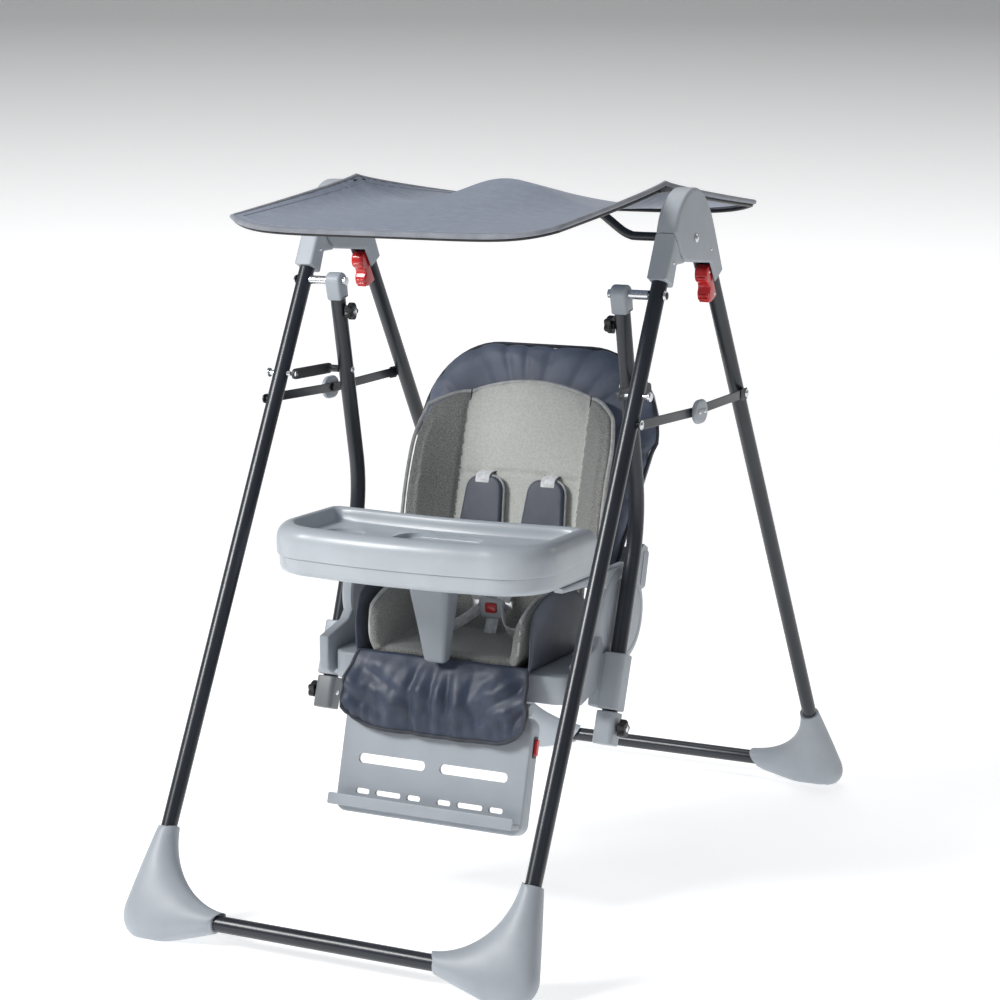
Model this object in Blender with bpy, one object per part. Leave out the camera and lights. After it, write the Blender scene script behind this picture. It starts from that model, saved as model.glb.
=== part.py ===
"""Free-standing baby swing: a folding A-frame with a canopy and a hanging high-chair seat.

Metres, +Z up, +X to the right as seen from the front, -Y to the front.
The origin is on the floor, under the middle of the base.
"""

import math

import bmesh
import bpy
from mathutils import Vector

# Driving dimensions -----------------------------------------------------------------------------
BASE_SHIFT = -0.0391  # the head stands this far along Y from the middle of the base
SIDES = (("left", -1), ("right", 1))
FIT = 0.0003  # gap between touching pieces

LEG_X = 0.313  # half the distance between the two A-frames
LEG_R = 0.0125
WALL = 0.0015
TUBE_SIDES = 16
FRONT_SPREAD = 0.5133  # how far a front leg runs forward for each metre down
REAR_SPREAD = 0.5933
LEG_Y_AT_1M = 0.088  # the legs' distance from the head's middle at a height of one metre
LEG_TOP_Z = 1.040
LEG_END_Z = 0.042
CROSSBAR_Z = 0.035
CROSSBAR_HALF = 0.284

HEAD_PIVOT = (0.0, 1.043)  # (y, z) of the fold pin and of the canopy tube's ends
HEAD_HALF = 0.0175  # half the head cap's width along X
HEAD_SLOT_HALF = 0.0135
HINGE_HALF = 0.0128
HEAD_SEAM = ((-0.0800, 1.0540), (-0.0690, 1.0400), (-0.0545, 1.0190), (-0.0390, 1.0065))

BOOT_TOP_Z = 0.150
BOOT_END_X = 0.190
BOOT_SLEEVE_R = 0.0165
BOOT_HEEL = (0.050, -0.043)  # the heel's corner: outwards from the leg and up it from the crossbar
BOOT_SOLE_END = -0.055
BOOT_DEEP = 0.015  # how much deeper than its sleeves the boot is at its middle

STAY_Z = 0.777
STAY_SAG = 0.005
STAY_BAR = 0.0025
STAY_LAYERS = (0.3265, 0.3295, 0.3326)  # where the rear bar, front bar and hub start along X

SWING_PIVOT = (-0.108, 0.962)
LOCK_PIN_Z = 0.817
LOCK_ARM_POINT = (-0.0785, 0.8160)  # (y, z) of the lock bar's bolt on the arm
ARM_X = 0.253
ARM_CORNER = (-0.0350, 0.6036)  # where the arm's two straight runs would meet
ARM_END = (-0.1514, 0.2755)
ARM_BEND_R = 0.25
ELBOW_HALF = 0.014
ELBOW_DROP = 0.030

DISC = (-0.052, 0.449)  # (y, z) of the recline axis, in the middle of the side discs
DISC_R = 0.080
PANEL_X = (0.2140, 0.2380)
SLEEVE_HALF = 0.0185

BACK_FOOT = (0.045, 0.450)  # (y, z) where the backrest's plane starts
BACK_TILT = math.radians(15)

BUCKLE = (-0.046, 0.4370)

LEGREST_HINGE = (-0.2055, 0.3180)
LEGREST_TILT = math.radians(15.2)
LEGREST_HALF_X = 0.166
LEGREST_N = (-0.008, 0.020)  # the panel's back and front, from the hinge's plane
LEGREST_T = (0.012, 0.195)  # its top and bottom, down from the hinge

TRAY_HALF_X = 0.241
TRAY_BACK_Y = -0.150
TRAY_FRONT_Y = -0.390
TRAY_Z = (0.530, 0.5575, 0.606)  # underside, seam and rim

CANOPY_HALF_X = 0.277
CANOPY_HALF_Y = 0.400
CANOPY_EDGE_Z = 1.064
CANOPY_TUBE_R = 0.007
CANOPY_WIRE_R = 0.003

LIGHT_GREY = ("light_grey_plastic", (0.50, 0.54, 0.58), 0.42, 0.0)
DARK_GREY = ("dark_grey_plastic", (0.13, 0.14, 0.15), 0.5, 0.0)
BLACK = ("black_plastic", (0.02, 0.02, 0.022), 0.5, 0.0)
RED = ("red_plastic", (0.55, 0.02, 0.02), 0.3, 0.0)
NAVY_TUBE = ("navy_tube", (0.035, 0.042, 0.055), 0.35, 0.4)
CHROME = ("chrome_steel", (0.75, 0.76, 0.78), 0.2, 1.0)
SLATE_FABRIC = ("slate_fabric", (0.11, 0.13, 0.18), 0.85, 0.0)
GREY_FABRIC = ("grey_fabric", (0.42, 0.42, 0.39), 0.9, 0.0)


# Placing ----------------------------------------------------------------------------------------
def at(x, y, z):
    """A point of the model from a height, a distance from the middle and one from the head."""
    return Vector((x, y + BASE_SHIFT, z))


def side_plane(x):
    """Lays an outline of (y, z) points in the plane at x, growing along +X."""
    return lambda a, b, c: at(x + c, a, b)


def unit(y, z):
    length = math.hypot(y, z)
    return y / length, z / length


def front_leg(side, z):
    return at(side * LEG_X, -LEG_Y_AT_1M - (1 - z) * FRONT_SPREAD, z)


def rear_leg(side, z):
    return at(side * LEG_X, LEG_Y_AT_1M + (1 - z) * REAR_SPREAD, z)


def on_back(w, h, n):
    """A point of the backrest: across, up its plane, and forward of it."""
    up = (math.sin(BACK_TILT), math.cos(BACK_TILT))
    return at(w, BACK_FOOT[0] + h * up[0] - n * up[1], BACK_FOOT[1] + h * up[1] + n * up[0])


def on_legrest(w, t, n):
    """A point of the legrest: across, down from its hinge, and forward of its middle plane."""
    down = (-math.sin(LEGREST_TILT), -math.cos(LEGREST_TILT))
    y = LEGREST_HINGE[0] + t * down[0] + n * down[1]
    return at(w, y, LEGREST_HINGE[1] + t * down[1] - n * down[0])


# Outlines ---------------------------------------------------------------------------------------
def arc(centre, radius, start, end, count):
    """Points on an arc, from one angle in degrees to another."""
    angles = [math.radians(start + (end - start) * i / count) for i in range(count + 1)]
    return [(centre[0] + radius * math.cos(a), centre[1] + radius * math.sin(a)) for a in angles]


def circle(centre, radius, count=24):
    return arc(centre, radius, 0, 360, count)[:-1]


def hull(points):
    """The convex outline round a set of points."""
    ordered = sorted(set(points))
    outline = []
    for run in (ordered, ordered[::-1]):
        chain = []
        for p in run:
            while len(chain) > 1:
                (ax, ay), (bx, by) = chain[-2], chain[-1]
                if (bx - ax) * (p[1] - ay) - (by - ay) * (p[0] - ax) > 0:
                    break
                chain.pop()
            chain.append(p)
        outline += chain[:-1]
    return outline


def inset(outline, distance):
    """The outline moved inwards by a distance."""
    count = len(outline)
    area = sum(
        outline[i - 1][0] * outline[i][1] - outline[i][0] * outline[i - 1][1]
        for i in range(count)
    )
    turn = 1 if area > 0 else -1
    moved = []
    for i, (x, y) in enumerate(outline):
        ax, ay = unit(x - outline[i - 1][0], y - outline[i - 1][1])
        bx, by = unit(outline[(i + 1) % count][0] - x, outline[(i + 1) % count][1] - y)
        nx, ny = unit(-(ay + by), ax + bx)
        reach = distance / max(0.5, -ay * nx + ax * ny)
        moved.append((x + turn * nx * reach, y + turn * ny * reach))
    return moved


def rounded_box(half_a, half_b, radius, count=4):
    """A rectangle with round corners, about the origin."""
    outline = []
    for i, (sa, sb) in enumerate(((1, 1), (-1, 1), (-1, -1), (1, -1))):
        corner = (sa * (half_a - radius), sb * (half_b - radius))
        outline += arc(corner, radius, 90 * i, 90 * i + 90, count)
    return outline


def fillet_path(start, corner, end, radius, count):
    """Start to end through a corner rounded to a radius, as (y, z) points."""
    a, c, b = Vector(start), Vector(corner), Vector(end)
    u, v = (a - c).normalized(), (b - c).normalized()
    half = u.angle(v) / 2
    centre = c + (u + v).normalized() * (radius / math.sin(half))
    first = c + u * (radius / math.tan(half)) - centre
    turn = (math.pi - 2 * half) * (1 if first.x * v.y - first.y * v.x > 0 else -1)
    points = [tuple(a)]
    for i in range(count + 1):
        angle = turn * i / count
        points.append(
            (
                centre.x + first.x * math.cos(angle) - first.y * math.sin(angle),
                centre.y + first.x * math.sin(angle) + first.y * math.cos(angle),
            )
        )
    return points + [tuple(b)]


# Solids -----------------------------------------------------------------------------------------
def material(spec):
    name, colour, roughness, metallic = spec
    found = bpy.data.materials.get(name)
    if found:
        return found
    made = bpy.data.materials.new(name)
    made.use_nodes = True
    shader = made.node_tree.nodes["Principled BSDF"]
    shader.inputs["Base Color"].default_value = (*colour, 1)
    shader.inputs["Roughness"].default_value = roughness
    shader.inputs["Metallic"].default_value = metallic
    return made


def add_object(name, bm, spec):
    """Turns a bmesh into a named object with its faces pointing out."""
    bmesh.ops.recalc_face_normals(bm, faces=bm.faces)
    mesh = bpy.data.meshes.new(name)
    bm.to_mesh(mesh)
    bm.free()
    mesh.shade_smooth()
    mesh.set_sharp_from_angle(angle=math.radians(35))
    obj = bpy.data.objects.new(name, mesh)
    bpy.context.scene.collection.objects.link(obj)
    if spec:
        mesh.materials.append(material(spec))
    return obj


def loft(name, rings, spec=None):
    """A closed solid through rings of equally many points."""
    bm = bmesh.new()
    loops = [[bm.verts.new(p) for p in ring] for ring in rings]
    for a, b in zip(loops, loops[1:]):
        for i in range(len(a)):
            bm.faces.new((a[i - 1], a[i], b[i], b[i - 1]))
    bm.faces.new(loops[0])
    bm.faces.new(loops[-1])
    return add_object(name, bm, spec)


def slab(name, outline, place, low, high, spec=None, rim=0.0, steps=2):
    """An outline given a thickness from low to high, with its two rims rounded."""
    rings = []
    for end, way in ((low, 1), (high, -1)):
        part = [(end, outline)] if rim == 0 else []
        for i in range(steps + 1 if rim else 0):
            t = math.pi / 2 * i / steps
            level = end + way * rim * (1 - math.cos(t))
            part.append((level, inset(outline, rim * (1 - math.sin(t)))))
        rings += part if way == 1 else part[::-1]
    return loft(name, [[place(a, b, level) for a, b in ring] for level, ring in rings], spec)


def frames_along(points):
    """Two cross directions at each point of a path, turned as little as possible."""
    count = len(points)
    tangents = [
        (points[min(i + 1, count - 1)] - points[max(i - 1, 0)]).normalized() for i in range(count)
    ]
    side = tangents[0].cross(Vector((1, 0, 0)))
    if side.length < 0.1:
        side = tangents[0].cross(Vector((0, 0, 1)))
    frames = []
    for tangent in tangents:
        side = (side - tangent * side.dot(tangent)).normalized()
        frames.append((side, tangent.cross(side)))
    return frames


def ring_at(point, frame, radius, sides):
    angles = [2 * math.pi * i / sides for i in range(sides)]
    return [point + (frame[0] * math.cos(a) + frame[1] * math.sin(a)) * radius for a in angles]


def rod(name, points, radius, spec=None, sides=TUBE_SIDES):
    """A solid round bar along a path."""
    rings = [ring_at(p, f, radius, sides) for p, f in zip(points, frames_along(points))]
    return loft(name, rings, spec)


def pipe(name, points, radius, spec, sides=TUBE_SIDES):
    """A hollow tube along a path, open at both ends."""
    frames = frames_along(points)
    bm = bmesh.new()
    skins = []
    for r in (radius, radius - WALL):
        rings = [ring_at(p, f, r, sides) for p, f in zip(points, frames)]
        skins.append([[bm.verts.new(p) for p in ring] for ring in rings])
    outer, inner = skins
    for skin in skins:
        for a, b in zip(skin, skin[1:]):
            for i in range(sides):
                bm.faces.new((a[i - 1], a[i], b[i], b[i - 1]))
    for end in (0, -1):
        for i in range(sides):
            bm.faces.new((outer[end][i - 1], outer[end][i], inner[end][i], inner[end][i - 1]))
    return add_object(name, bm, spec)


def wire_loop(name, points, radius, spec, sides=8):
    """A solid wire along a closed path."""
    count = len(points)
    bm = bmesh.new()
    loops = []
    for i, p in enumerate(points):
        tangent = (points[(i + 1) % count] - points[i - 1]).normalized()
        across = tangent.cross(Vector((0, 0, 1))).normalized()
        ring = ring_at(p, (across, tangent.cross(across)), radius, sides)
        loops.append([bm.verts.new(q) for q in ring])
    for k in range(count):
        a, b = loops[k - 1], loops[k]
        for i in range(sides):
            bm.faces.new((a[i - 1], a[i], b[i], b[i - 1]))
    return add_object(name, bm, spec)


def turned(name, profile, origin, axis, spec=None, sides=24):
    """A turned solid from (radius, distance along the axis) pairs."""
    axis = Vector(axis).normalized()
    points = [origin + axis * distance for _, distance in profile]
    frame = frames_along([origin, origin + axis])[0]
    rings = [ring_at(p, frame, r, sides) for p, (r, _) in zip(points, profile)]
    return loft(name, rings, spec)


def cloth_slab(name, surface, across, along, thickness, spec):
    """A closed sheet of even thickness on the front of surface(u, v), with u and v from 0 to 1."""
    bm = bmesh.new()
    points = [[surface(i / across, j / along) for i in range(across + 1)] for j in range(along + 1)]
    skins = []
    for lift in (0, thickness):
        rows = []
        for j in range(along + 1):
            row = []
            for i in range(across + 1):
                du = points[j][min(i + 1, across)] - points[j][max(i - 1, 0)]
                dv = points[min(j + 1, along)][i] - points[max(j - 1, 0)][i]
                row.append(bm.verts.new(points[j][i] + du.cross(dv).normalized() * lift))
            rows.append(row)
        skins.append(rows)
    for rows in skins:
        for j in range(along):
            for i in range(across):
                bm.faces.new((rows[j][i], rows[j][i + 1], rows[j + 1][i + 1], rows[j + 1][i]))
    edge = [(0, i) for i in range(across)] + [(j, across) for j in range(along)]
    edge += [(along, i) for i in range(across, 0, -1)] + [(j, 0) for j in range(along, 0, -1)]
    for (j, i), (q, p) in zip(edge, edge[1:] + edge[:1]):
        bm.faces.new((skins[0][j][i], skins[0][q][p], skins[1][q][p], skins[1][j][i]))
    return add_object(name, bm, spec)


def combine(target, other, operation):
    """A Boolean on target. The other object only lends its shape."""
    modifier = target.modifiers.new(other.name, "BOOLEAN")
    modifier.operation = operation
    modifier.solver = "EXACT"
    modifier.object = other
    other.hide_render = True
    other.display_type = "WIRE"


def drill(target, point, axis, radius, length, sides=TUBE_SIDES):
    """A round hole through target, centred on a point."""
    axis = Vector(axis).normalized()
    profile = ((radius, -length / 2), (radius, length / 2))
    cutter = turned(f"{target.name}_bore", profile, point, axis, None, sides)
    combine(target, cutter, "DIFFERENCE")


# The A-frame ------------------------------------------------------------------------------------
def leg_direction(leg, side):
    return (leg(side, 0) - leg(side, 1)).normalized()


def make_legs(prefix, leg, side, name):
    tube = pipe(f"{prefix}_leg_{name}", [leg(side, LEG_TOP_Z), leg(side, LEG_END_Z)], LEG_R, NAVY_TUBE)
    stud_end = (STAY_LAYERS[2] if prefix == "front" else STAY_LAYERS[1]) + 0.0003
    out = stud_end - LEG_X
    profile = ((0.0030, 0.0114), (0.0030, out), (0.0062, out), (0.0048, out + 0.0028))
    stud = turned(f"{prefix}_stay_stud_{name}", profile, leg(side, STAY_Z), (side, 0, 0), None, 12)
    combine(tube, stud, "UNION")
    if prefix == "front":
        drill(tube, at(side * LEG_X, *SWING_PIVOT), (1, 0, 0), 0.0045, 0.06, 12)
        drill(tube, front_leg(side, LOCK_PIN_Z), (1, 0, 0), 0.0050, 0.06, 12)
    else:
        add_rear_hinge(tube, side, name)


def add_rear_hinge(tube, side, name):
    """The knuckle inside the head cap that turns on the fold pin and plugs into the rear leg."""
    down = unit(REAR_SPREAD, -1)
    out = (-down[1], down[0])
    top = (LEG_Y_AT_1M + (1 - LEG_TOP_Z) * REAR_SPREAD, LEG_TOP_Z)
    start = (top[0] + down[0] * 0.002, top[1] + down[1] * 0.002)
    corners = [(start[0] + out[0] * 0.0125 * w, start[1] + out[1] * 0.0125 * w) for w in (-1, 1)]
    hinge = slab(
        f"rear_hinge_{name}", hull(circle(HEAD_PIVOT, 0.018, 20) + corners),
        side_plane(side * LEG_X), -HINGE_HALF, HINGE_HALF,
    )
    combine(tube, hinge, "UNION")
    ends = [rear_leg(side, z) for z in (LEG_TOP_Z + 0.006, LEG_TOP_Z - 0.030)]
    combine(tube, rod(f"rear_plug_{name}", ends, LEG_R - WALL / 2), "UNION")
    drill(tube, at(side * LEG_X, *HEAD_PIVOT), (1, 0, 0), 0.0043, 0.05)


def round_corner(before, corner, after, radius, count):
    """Points along an arc that rounds a corner between two others."""
    u, v = (Vector(before) - Vector(corner)).normalized(), (Vector(after) - Vector(corner)).normalized()
    half = u.angle(v) / 2
    centre = Vector(corner) + (u + v).normalized() * (radius / math.sin(half))
    first = Vector(corner) + u * (radius / math.tan(half)) - centre
    last = Vector(corner) + v * (radius / math.tan(half)) - centre
    return [
        tuple(centre + first.lerp(last, i / count).normalized() * radius) for i in range(count + 1)
    ]


def evenly(points, count):
    """The open outline through points, sampled again at even distances."""
    lengths = [0.0]
    for p, q in zip(points, points[1:]):
        lengths.append(lengths[-1] + math.dist(p, q))
    samples = []
    k = 0
    for i in range(count + 1):
        want = lengths[-1] * i / count
        while k < len(points) - 2 and lengths[k + 1] < want:
            k += 1
        t = (want - lengths[k]) / (lengths[k + 1] - lengths[k])
        samples.append(tuple(a + (b - a) * t for a, b in zip(points[k], points[k + 1])))
    return samples


def make_boot(prefix, leg, side, name):
    """The foot: a sleeve on the leg that flares to a heel, and a sleeve on the crossbar. Both its
    edges are drawn in the plane of the leg and the crossbar."""
    corner, direction = leg(side, CROSSBAR_Z), leg_direction(leg, side)
    top, end = (leg(side, BOOT_TOP_Z) - corner).length, BOOT_END_X - LEG_X
    heel, sole_end = BOOT_HEEL, (BOOT_SOLE_END, BOOT_HEEL[1])
    outer = [(BOOT_SLEEVE_R, top)] + round_corner((BOOT_SLEEVE_R, top), heel, sole_end, 0.036, 8)
    outer += round_corner(heel, sole_end, (end, -BOOT_SLEEVE_R), 0.06, 3) + [(end, -BOOT_SLEEVE_R)]
    bend = (-end + top) / 2
    inner = [(-BOOT_SLEEVE_R, top)]
    inner += arc((-bend - BOOT_SLEEVE_R, bend + BOOT_SLEEVE_R), bend, 0, -90, 10)[1:-1]
    inner += [(end, BOOT_SLEEVE_R)]
    steps = 14
    normal = direction.cross(Vector((1, 0, 0))).normalized()
    rings = []
    for k, (p, q) in enumerate(zip(evenly(inner, steps), evenly(outer, steps))):
        spot = [corner + Vector((side * a, 0, 0)) - direction * b for a, b in (p, q)]
        middle, reach = (spot[0] + spot[1]) / 2, (spot[1] - spot[0]) / 2
        deep = BOOT_SLEEVE_R + BOOT_DEEP * math.sin(math.pi * k / steps)
        ring = []
        for i in range(TUBE_SIDES):
            a = 2 * math.pi * i / TUBE_SIDES
            ring.append(middle + reach * math.cos(a) + normal * deep * math.sin(a))
        rings.append(ring)
    boot = loft(f"{prefix}_foot_{name}", rings, LIGHT_GREY)
    ground = slab(f"ground_{prefix}_{name}", rounded_box(1.0, 1.0, 0.1), at, -0.2, 0.0)
    combine(boot, ground, "DIFFERENCE")
    bore_length = (leg(side, BOOT_TOP_Z) - leg(side, LEG_END_Z)).length + 0.05
    middle = leg(side, LEG_END_Z) - direction * (bore_length / 2 - 0.002)
    drill(boot, middle, direction, LEG_R + FIT, bore_length)
    bar_end = Vector((side * (CROSSBAR_HALF + 0.002), corner.y, CROSSBAR_Z))
    drill(boot, bar_end - Vector((side * 0.06, 0, 0)), (1, 0, 0), LEG_R + FIT, 0.12)


def make_crossbar(prefix, leg):
    y = leg(1, CROSSBAR_Z).y
    ends = [Vector((x, y, CROSSBAR_Z)) for x in (-CROSSBAR_HALF, CROSSBAR_HALF)]
    pipe(f"{prefix}_crossbar", ends, LEG_R, NAVY_TUBE)


def head_outline():
    """The head cap seen from the side: an arch over both legs, cut off along the socket's seam."""
    arch = [(-0.0660, 1.0830), (-0.0420, 1.1065), (-0.0215, 1.1172)]
    arch += [(0.0, 1.1205), (0.0200, 1.1168), (0.0380, 1.1060), (0.0620, 1.0810), (0.0780, 1.0540)]
    sleeve = [(0.1135, 0.9857), (0.0851, 0.9689), (0.0636, 1.0000)]
    seam = [(y + 0.0018, z + 0.0014) for y, z in HEAD_SEAM[::-1]]
    return arch + sleeve + seam


def make_head(side, name):
    cap = slab(
        f"head_cap_{name}", head_outline(), side_plane(side * LEG_X), -HEAD_HALF, HEAD_HALF,
        LIGHT_GREY, rim=0.006, steps=3,
    )
    pocket = [(-0.0740, 1.0545), (-0.0600, 1.0790), (-0.0380, 1.1000), (0.0, 1.1130)]
    pocket += [(0.0330, 1.1000), (0.0560, 1.0770), (0.0725, 1.0520), (0.1118, 0.9850), (0.1080, 0.9400)]
    pocket += [(-0.0200, 0.9400), (-0.1000, 0.9900)]
    cutter = slab(
        f"head_pocket_{name}", pocket, side_plane(side * LEG_X), -HEAD_SLOT_HALF, HEAD_SLOT_HALF
    )
    combine(cap, cutter, "DIFFERENCE")
    drill(cap, at(side * (LEG_X + HEAD_HALF), *HEAD_PIVOT), (1, 0, 0), 0.0045, 0.03, 12)
    drill(cap, at(side * (LEG_X - HEAD_HALF), *HEAD_PIVOT), (1, 0, 0), CANOPY_TUBE_R + FIT, 0.012)


def make_front_socket(side, name):
    """The sleeve that holds a front leg, under the head cap's seam."""
    down = unit(-FRONT_SPREAD, -1)
    out = (down[1], -down[0])
    foot = (-LEG_Y_AT_1M - 0.02 * FRONT_SPREAD, 0.980)
    half = 0.0170
    low = [(foot[0] + out[0] * half * w, foot[1] + out[1] * half * w) for w in (-1, 1)]
    outline = [low[1], (-0.0860, 1.0420)] + list(HEAD_SEAM) + [(-0.0700, 1.0055), low[0]]
    socket = slab(
        f"front_socket_{name}", outline, side_plane(side * LEG_X), -0.0172, 0.0172,
        LIGHT_GREY, rim=0.004, steps=2,
    )
    drill(socket, front_leg(side, 1.0), leg_direction(front_leg, side), LEG_R + FIT, 0.2)


def make_fold_pin(side, name):
    face = HEAD_HALF + FIT
    profile = ((0.0040, -0.0120), (0.0040, face), (0.0070, face))
    profile += ((0.0070, face + 0.0012), (0.0045, face + 0.0027))
    turned(f"fold_pin_{name}", profile, at(side * LEG_X, *HEAD_PIVOT), (side, 0, 0), CHROME, 16)


def make_release_lever(side, name):
    """The red latch that slides down the rear leg's front to free the fold."""
    down = unit(REAR_SPREAD, -1)
    front = (down[1], -down[0])
    shape = [(-0.006, 0.0133), (-0.006, 0.030), (0.004, 0.037), (0.014, 0.038), (0.020, 0.033)]
    shape += [(0.026, 0.034), (0.033, 0.042), (0.044, 0.044), (0.052, 0.039), (0.055, 0.0133)]
    start = (LEG_Y_AT_1M, 1.0)
    outline = [
        (start[0] + down[0] * t + front[0] * n, start[1] + down[1] * t + front[1] * n)
        for t, n in shape
    ]
    slab(
        f"release_lever_{name}", outline, side_plane(side * LEG_X), -0.0110, 0.0110,
        RED, rim=0.004, steps=2,
    )


def stay_bar(name, start, end, x, side):
    """A flat bar with round eyes at both ends."""
    outline = hull(circle(start, 0.0075, 16) + circle(end, 0.0075, 16))
    place = side_plane(0)
    return slab(name, outline, lambda a, b, c: place(a, b, side * c), x, x + STAY_BAR, NAVY_TUBE)


def make_stays(side, name):
    """The two halves of the folding side stay. The hub plate belongs to the front half."""
    front = (-LEG_Y_AT_1M - (1 - STAY_Z) * FRONT_SPREAD, STAY_Z)
    rear = (LEG_Y_AT_1M + (1 - STAY_Z) * REAR_SPREAD, STAY_Z)
    hub = ((front[0] + rear[0]) / 2, STAY_Z - STAY_SAG)
    front_bar = stay_bar(f"front_stay_{name}", front, hub, STAY_LAYERS[1], side)
    hub_shape = hull(
        circle((hub[0] - 0.006, hub[1]), 0.0190, 24) + circle((hub[0] + 0.006, hub[1]), 0.0190, 24)
    )
    place = side_plane(0)
    plate = slab(
        f"stay_hub_{name}", hub_shape, lambda a, b, c: place(a, b, side * c),
        STAY_LAYERS[2] - 0.0010, STAY_LAYERS[2] + 0.0085, rim=0.002,
    )
    combine(front_bar, plate, "UNION")
    stay_bar(f"rear_stay_{name}", rear, hub, STAY_LAYERS[0], side)
    for label, point in (("front", front), ("rear", rear)):
        bar = bpy.data.objects[f"{label}_stay_{name}"]
        drill(bar, at(side * 0.330, *point), (1, 0, 0), 0.0034, 0.02, 12)


# The canopy -------------------------------------------------------------------------------------
def canopy_height(u, v):
    """The sheet's height for u across and v along it, each from -1 to 1: raised at the middle of
    both side edges and over the tube, low along the front and back edges."""
    ridge = max(0.0, 1 - abs(v)) ** 1.15
    crown = 0.034 * math.exp(-((u / 0.45) ** 2))
    saddle = 0.028 * max(0.0, 1 - u * u) ** 0.8
    side_edge = abs(u) ** 6 * (0.063 - 0.047 * abs(v) ** 0.85)
    return CANOPY_EDGE_Z + ridge * (crown + saddle) + side_edge


def canopy_point(u, v):
    """A point of the sheet, whose corners are rounded off in plan."""
    rounding = 0.07
    across, along = u * CANOPY_HALF_X, v * CANOPY_HALF_Y
    corner = max(0.0, abs(u) - (1 - 0.30)) / 0.30
    along *= 1 - rounding * corner**2.4
    return at(across, along, canopy_height(u, v))


def make_canopy():
    cloth_slab(
        "canopy_fabric", lambda u, v: canopy_point(2 * u - 1, 2 * v - 1), 14, 12, 0.0016, SLATE_FABRIC
    )
    across = [2 * i / 14 - 1 for i in range(14)]
    along = [2 * i / 12 - 1 for i in range(12)]
    edge = [canopy_point(s, -1) for s in across] + [canopy_point(1, s) for s in along]
    edge += [canopy_point(-s, 1) for s in across] + [canopy_point(-1, -s) for s in along]
    drop = Vector((0, 0, -CANOPY_WIRE_R - 0.0014))
    wire_loop("canopy_wire", [p + drop for p in edge], CANOPY_WIRE_R, BLACK)
    inner = LEG_X - HEAD_SLOT_HALF - FIT
    bend = ((0.232, 0.0), (0.219, 0.0015), (0.207, 0.0065), (0.195, 0.0145), (0.182, 0.024), (0.168, 0.033))
    right = [(inner, HEAD_PIVOT[1])] + [(x, HEAD_PIVOT[1] + rise) for x, rise in bend]
    for x in (0.150, 0.125, 0.100, 0.075, 0.050, 0.025, 0.0):
        right.append((x, canopy_height(x / CANOPY_HALF_X, 0) - CANOPY_TUBE_R - 0.0025))
    points = [at(x, 0, z) for x, z in right] + [at(-x, 0, z) for x, z in right[-2::-1]]
    rod("canopy_tube", points, CANOPY_TUBE_R, NAVY_TUBE, 12)


# The hanger -------------------------------------------------------------------------------------
def arm_direction():
    return unit(ARM_CORNER[0] - SWING_PIVOT[0], ARM_CORNER[1] - SWING_PIVOT[1])


def run_direction():
    """The way down the arm's lower run."""
    return unit(ARM_END[0] - ARM_CORNER[0], ARM_END[1] - ARM_CORNER[1])


def along_run(z):
    down = run_direction()
    t = (z - ARM_END[1]) / down[1]
    return ARM_END[0] + down[0] * t, z


def make_axle(side, name):
    """The bolt through the front leg, with its plated spacer, that the seat swings on."""
    profile = (
        (0.0070, -0.0787), (0.0070, -0.0745), (0.0040, -0.0745), (0.0040, -0.0450), (0.0075, -0.0450),
        (0.0075, -0.0130), (0.0040, -0.0130), (0.0040, 0.0131), (0.0080, 0.0131), (0.0066, 0.0165),
    )
    turned(f"swing_axle_{name}", profile, at(side * LEG_X, *SWING_PIVOT), (side, 0, 0), CHROME, 16)


def make_elbow(side, name):
    """The knuckle that turns on the axle and plugs into the arm."""
    down = arm_direction()
    out = (-down[1], down[0])
    foot = [SWING_PIVOT[i] + down[i] * (ELBOW_DROP - FIT) for i in (0, 1)]
    corners = [(foot[0] + out[0] * 0.0125 * w, foot[1] + out[1] * 0.0125 * w) for w in (-1, 1)]
    elbow = slab(
        f"hanger_elbow_{name}", hull(circle(SWING_PIVOT, 0.0165, 20) + corners),
        side_plane(side * ARM_X), -ELBOW_HALF, ELBOW_HALF, LIGHT_GREY, rim=0.003,
    )
    ends = [
        at(side * ARM_X, *[SWING_PIVOT[i] + down[i] * t for i in (0, 1)])
        for t in (ELBOW_DROP - 0.008, ELBOW_DROP + 0.034)
    ]
    combine(elbow, rod(f"elbow_plug_{name}", ends, LEG_R - WALL - FIT), "UNION")
    drill(elbow, at(side * ARM_X, *SWING_PIVOT), (1, 0, 0), 0.0043, 0.06)
    drill(elbow, at(side * (ARM_X - 0.012), *upper_knob_point()), (1, 0, 0), 0.0034, 0.040, 12)


def upper_knob_point():
    down = arm_direction()
    return [SWING_PIVOT[i] + down[i] * 0.050 for i in (0, 1)]


def make_arm(side, name):
    down = arm_direction()
    start = [SWING_PIVOT[i] + down[i] * ELBOW_DROP for i in (0, 1)]
    path = fillet_path(start, ARM_CORNER, ARM_END, ARM_BEND_R, 7)
    arm = pipe(f"swing_arm_{name}", [at(side * ARM_X, y, z) for y, z in path], LEG_R, NAVY_TUBE)
    drill(arm, at(side * (ARM_X - 0.012), *upper_knob_point()), (1, 0, 0), 0.0034, 0.014, 12)
    drill(arm, at(side * (ARM_X + 0.012), *LOCK_ARM_POINT), (1, 0, 0), 0.0044, 0.014, 12)
    drill(arm, at(side * (ARM_X + 0.012), *along_run(0.2905)), (1, 0, 0), 0.0034, 0.014, 12)


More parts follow.
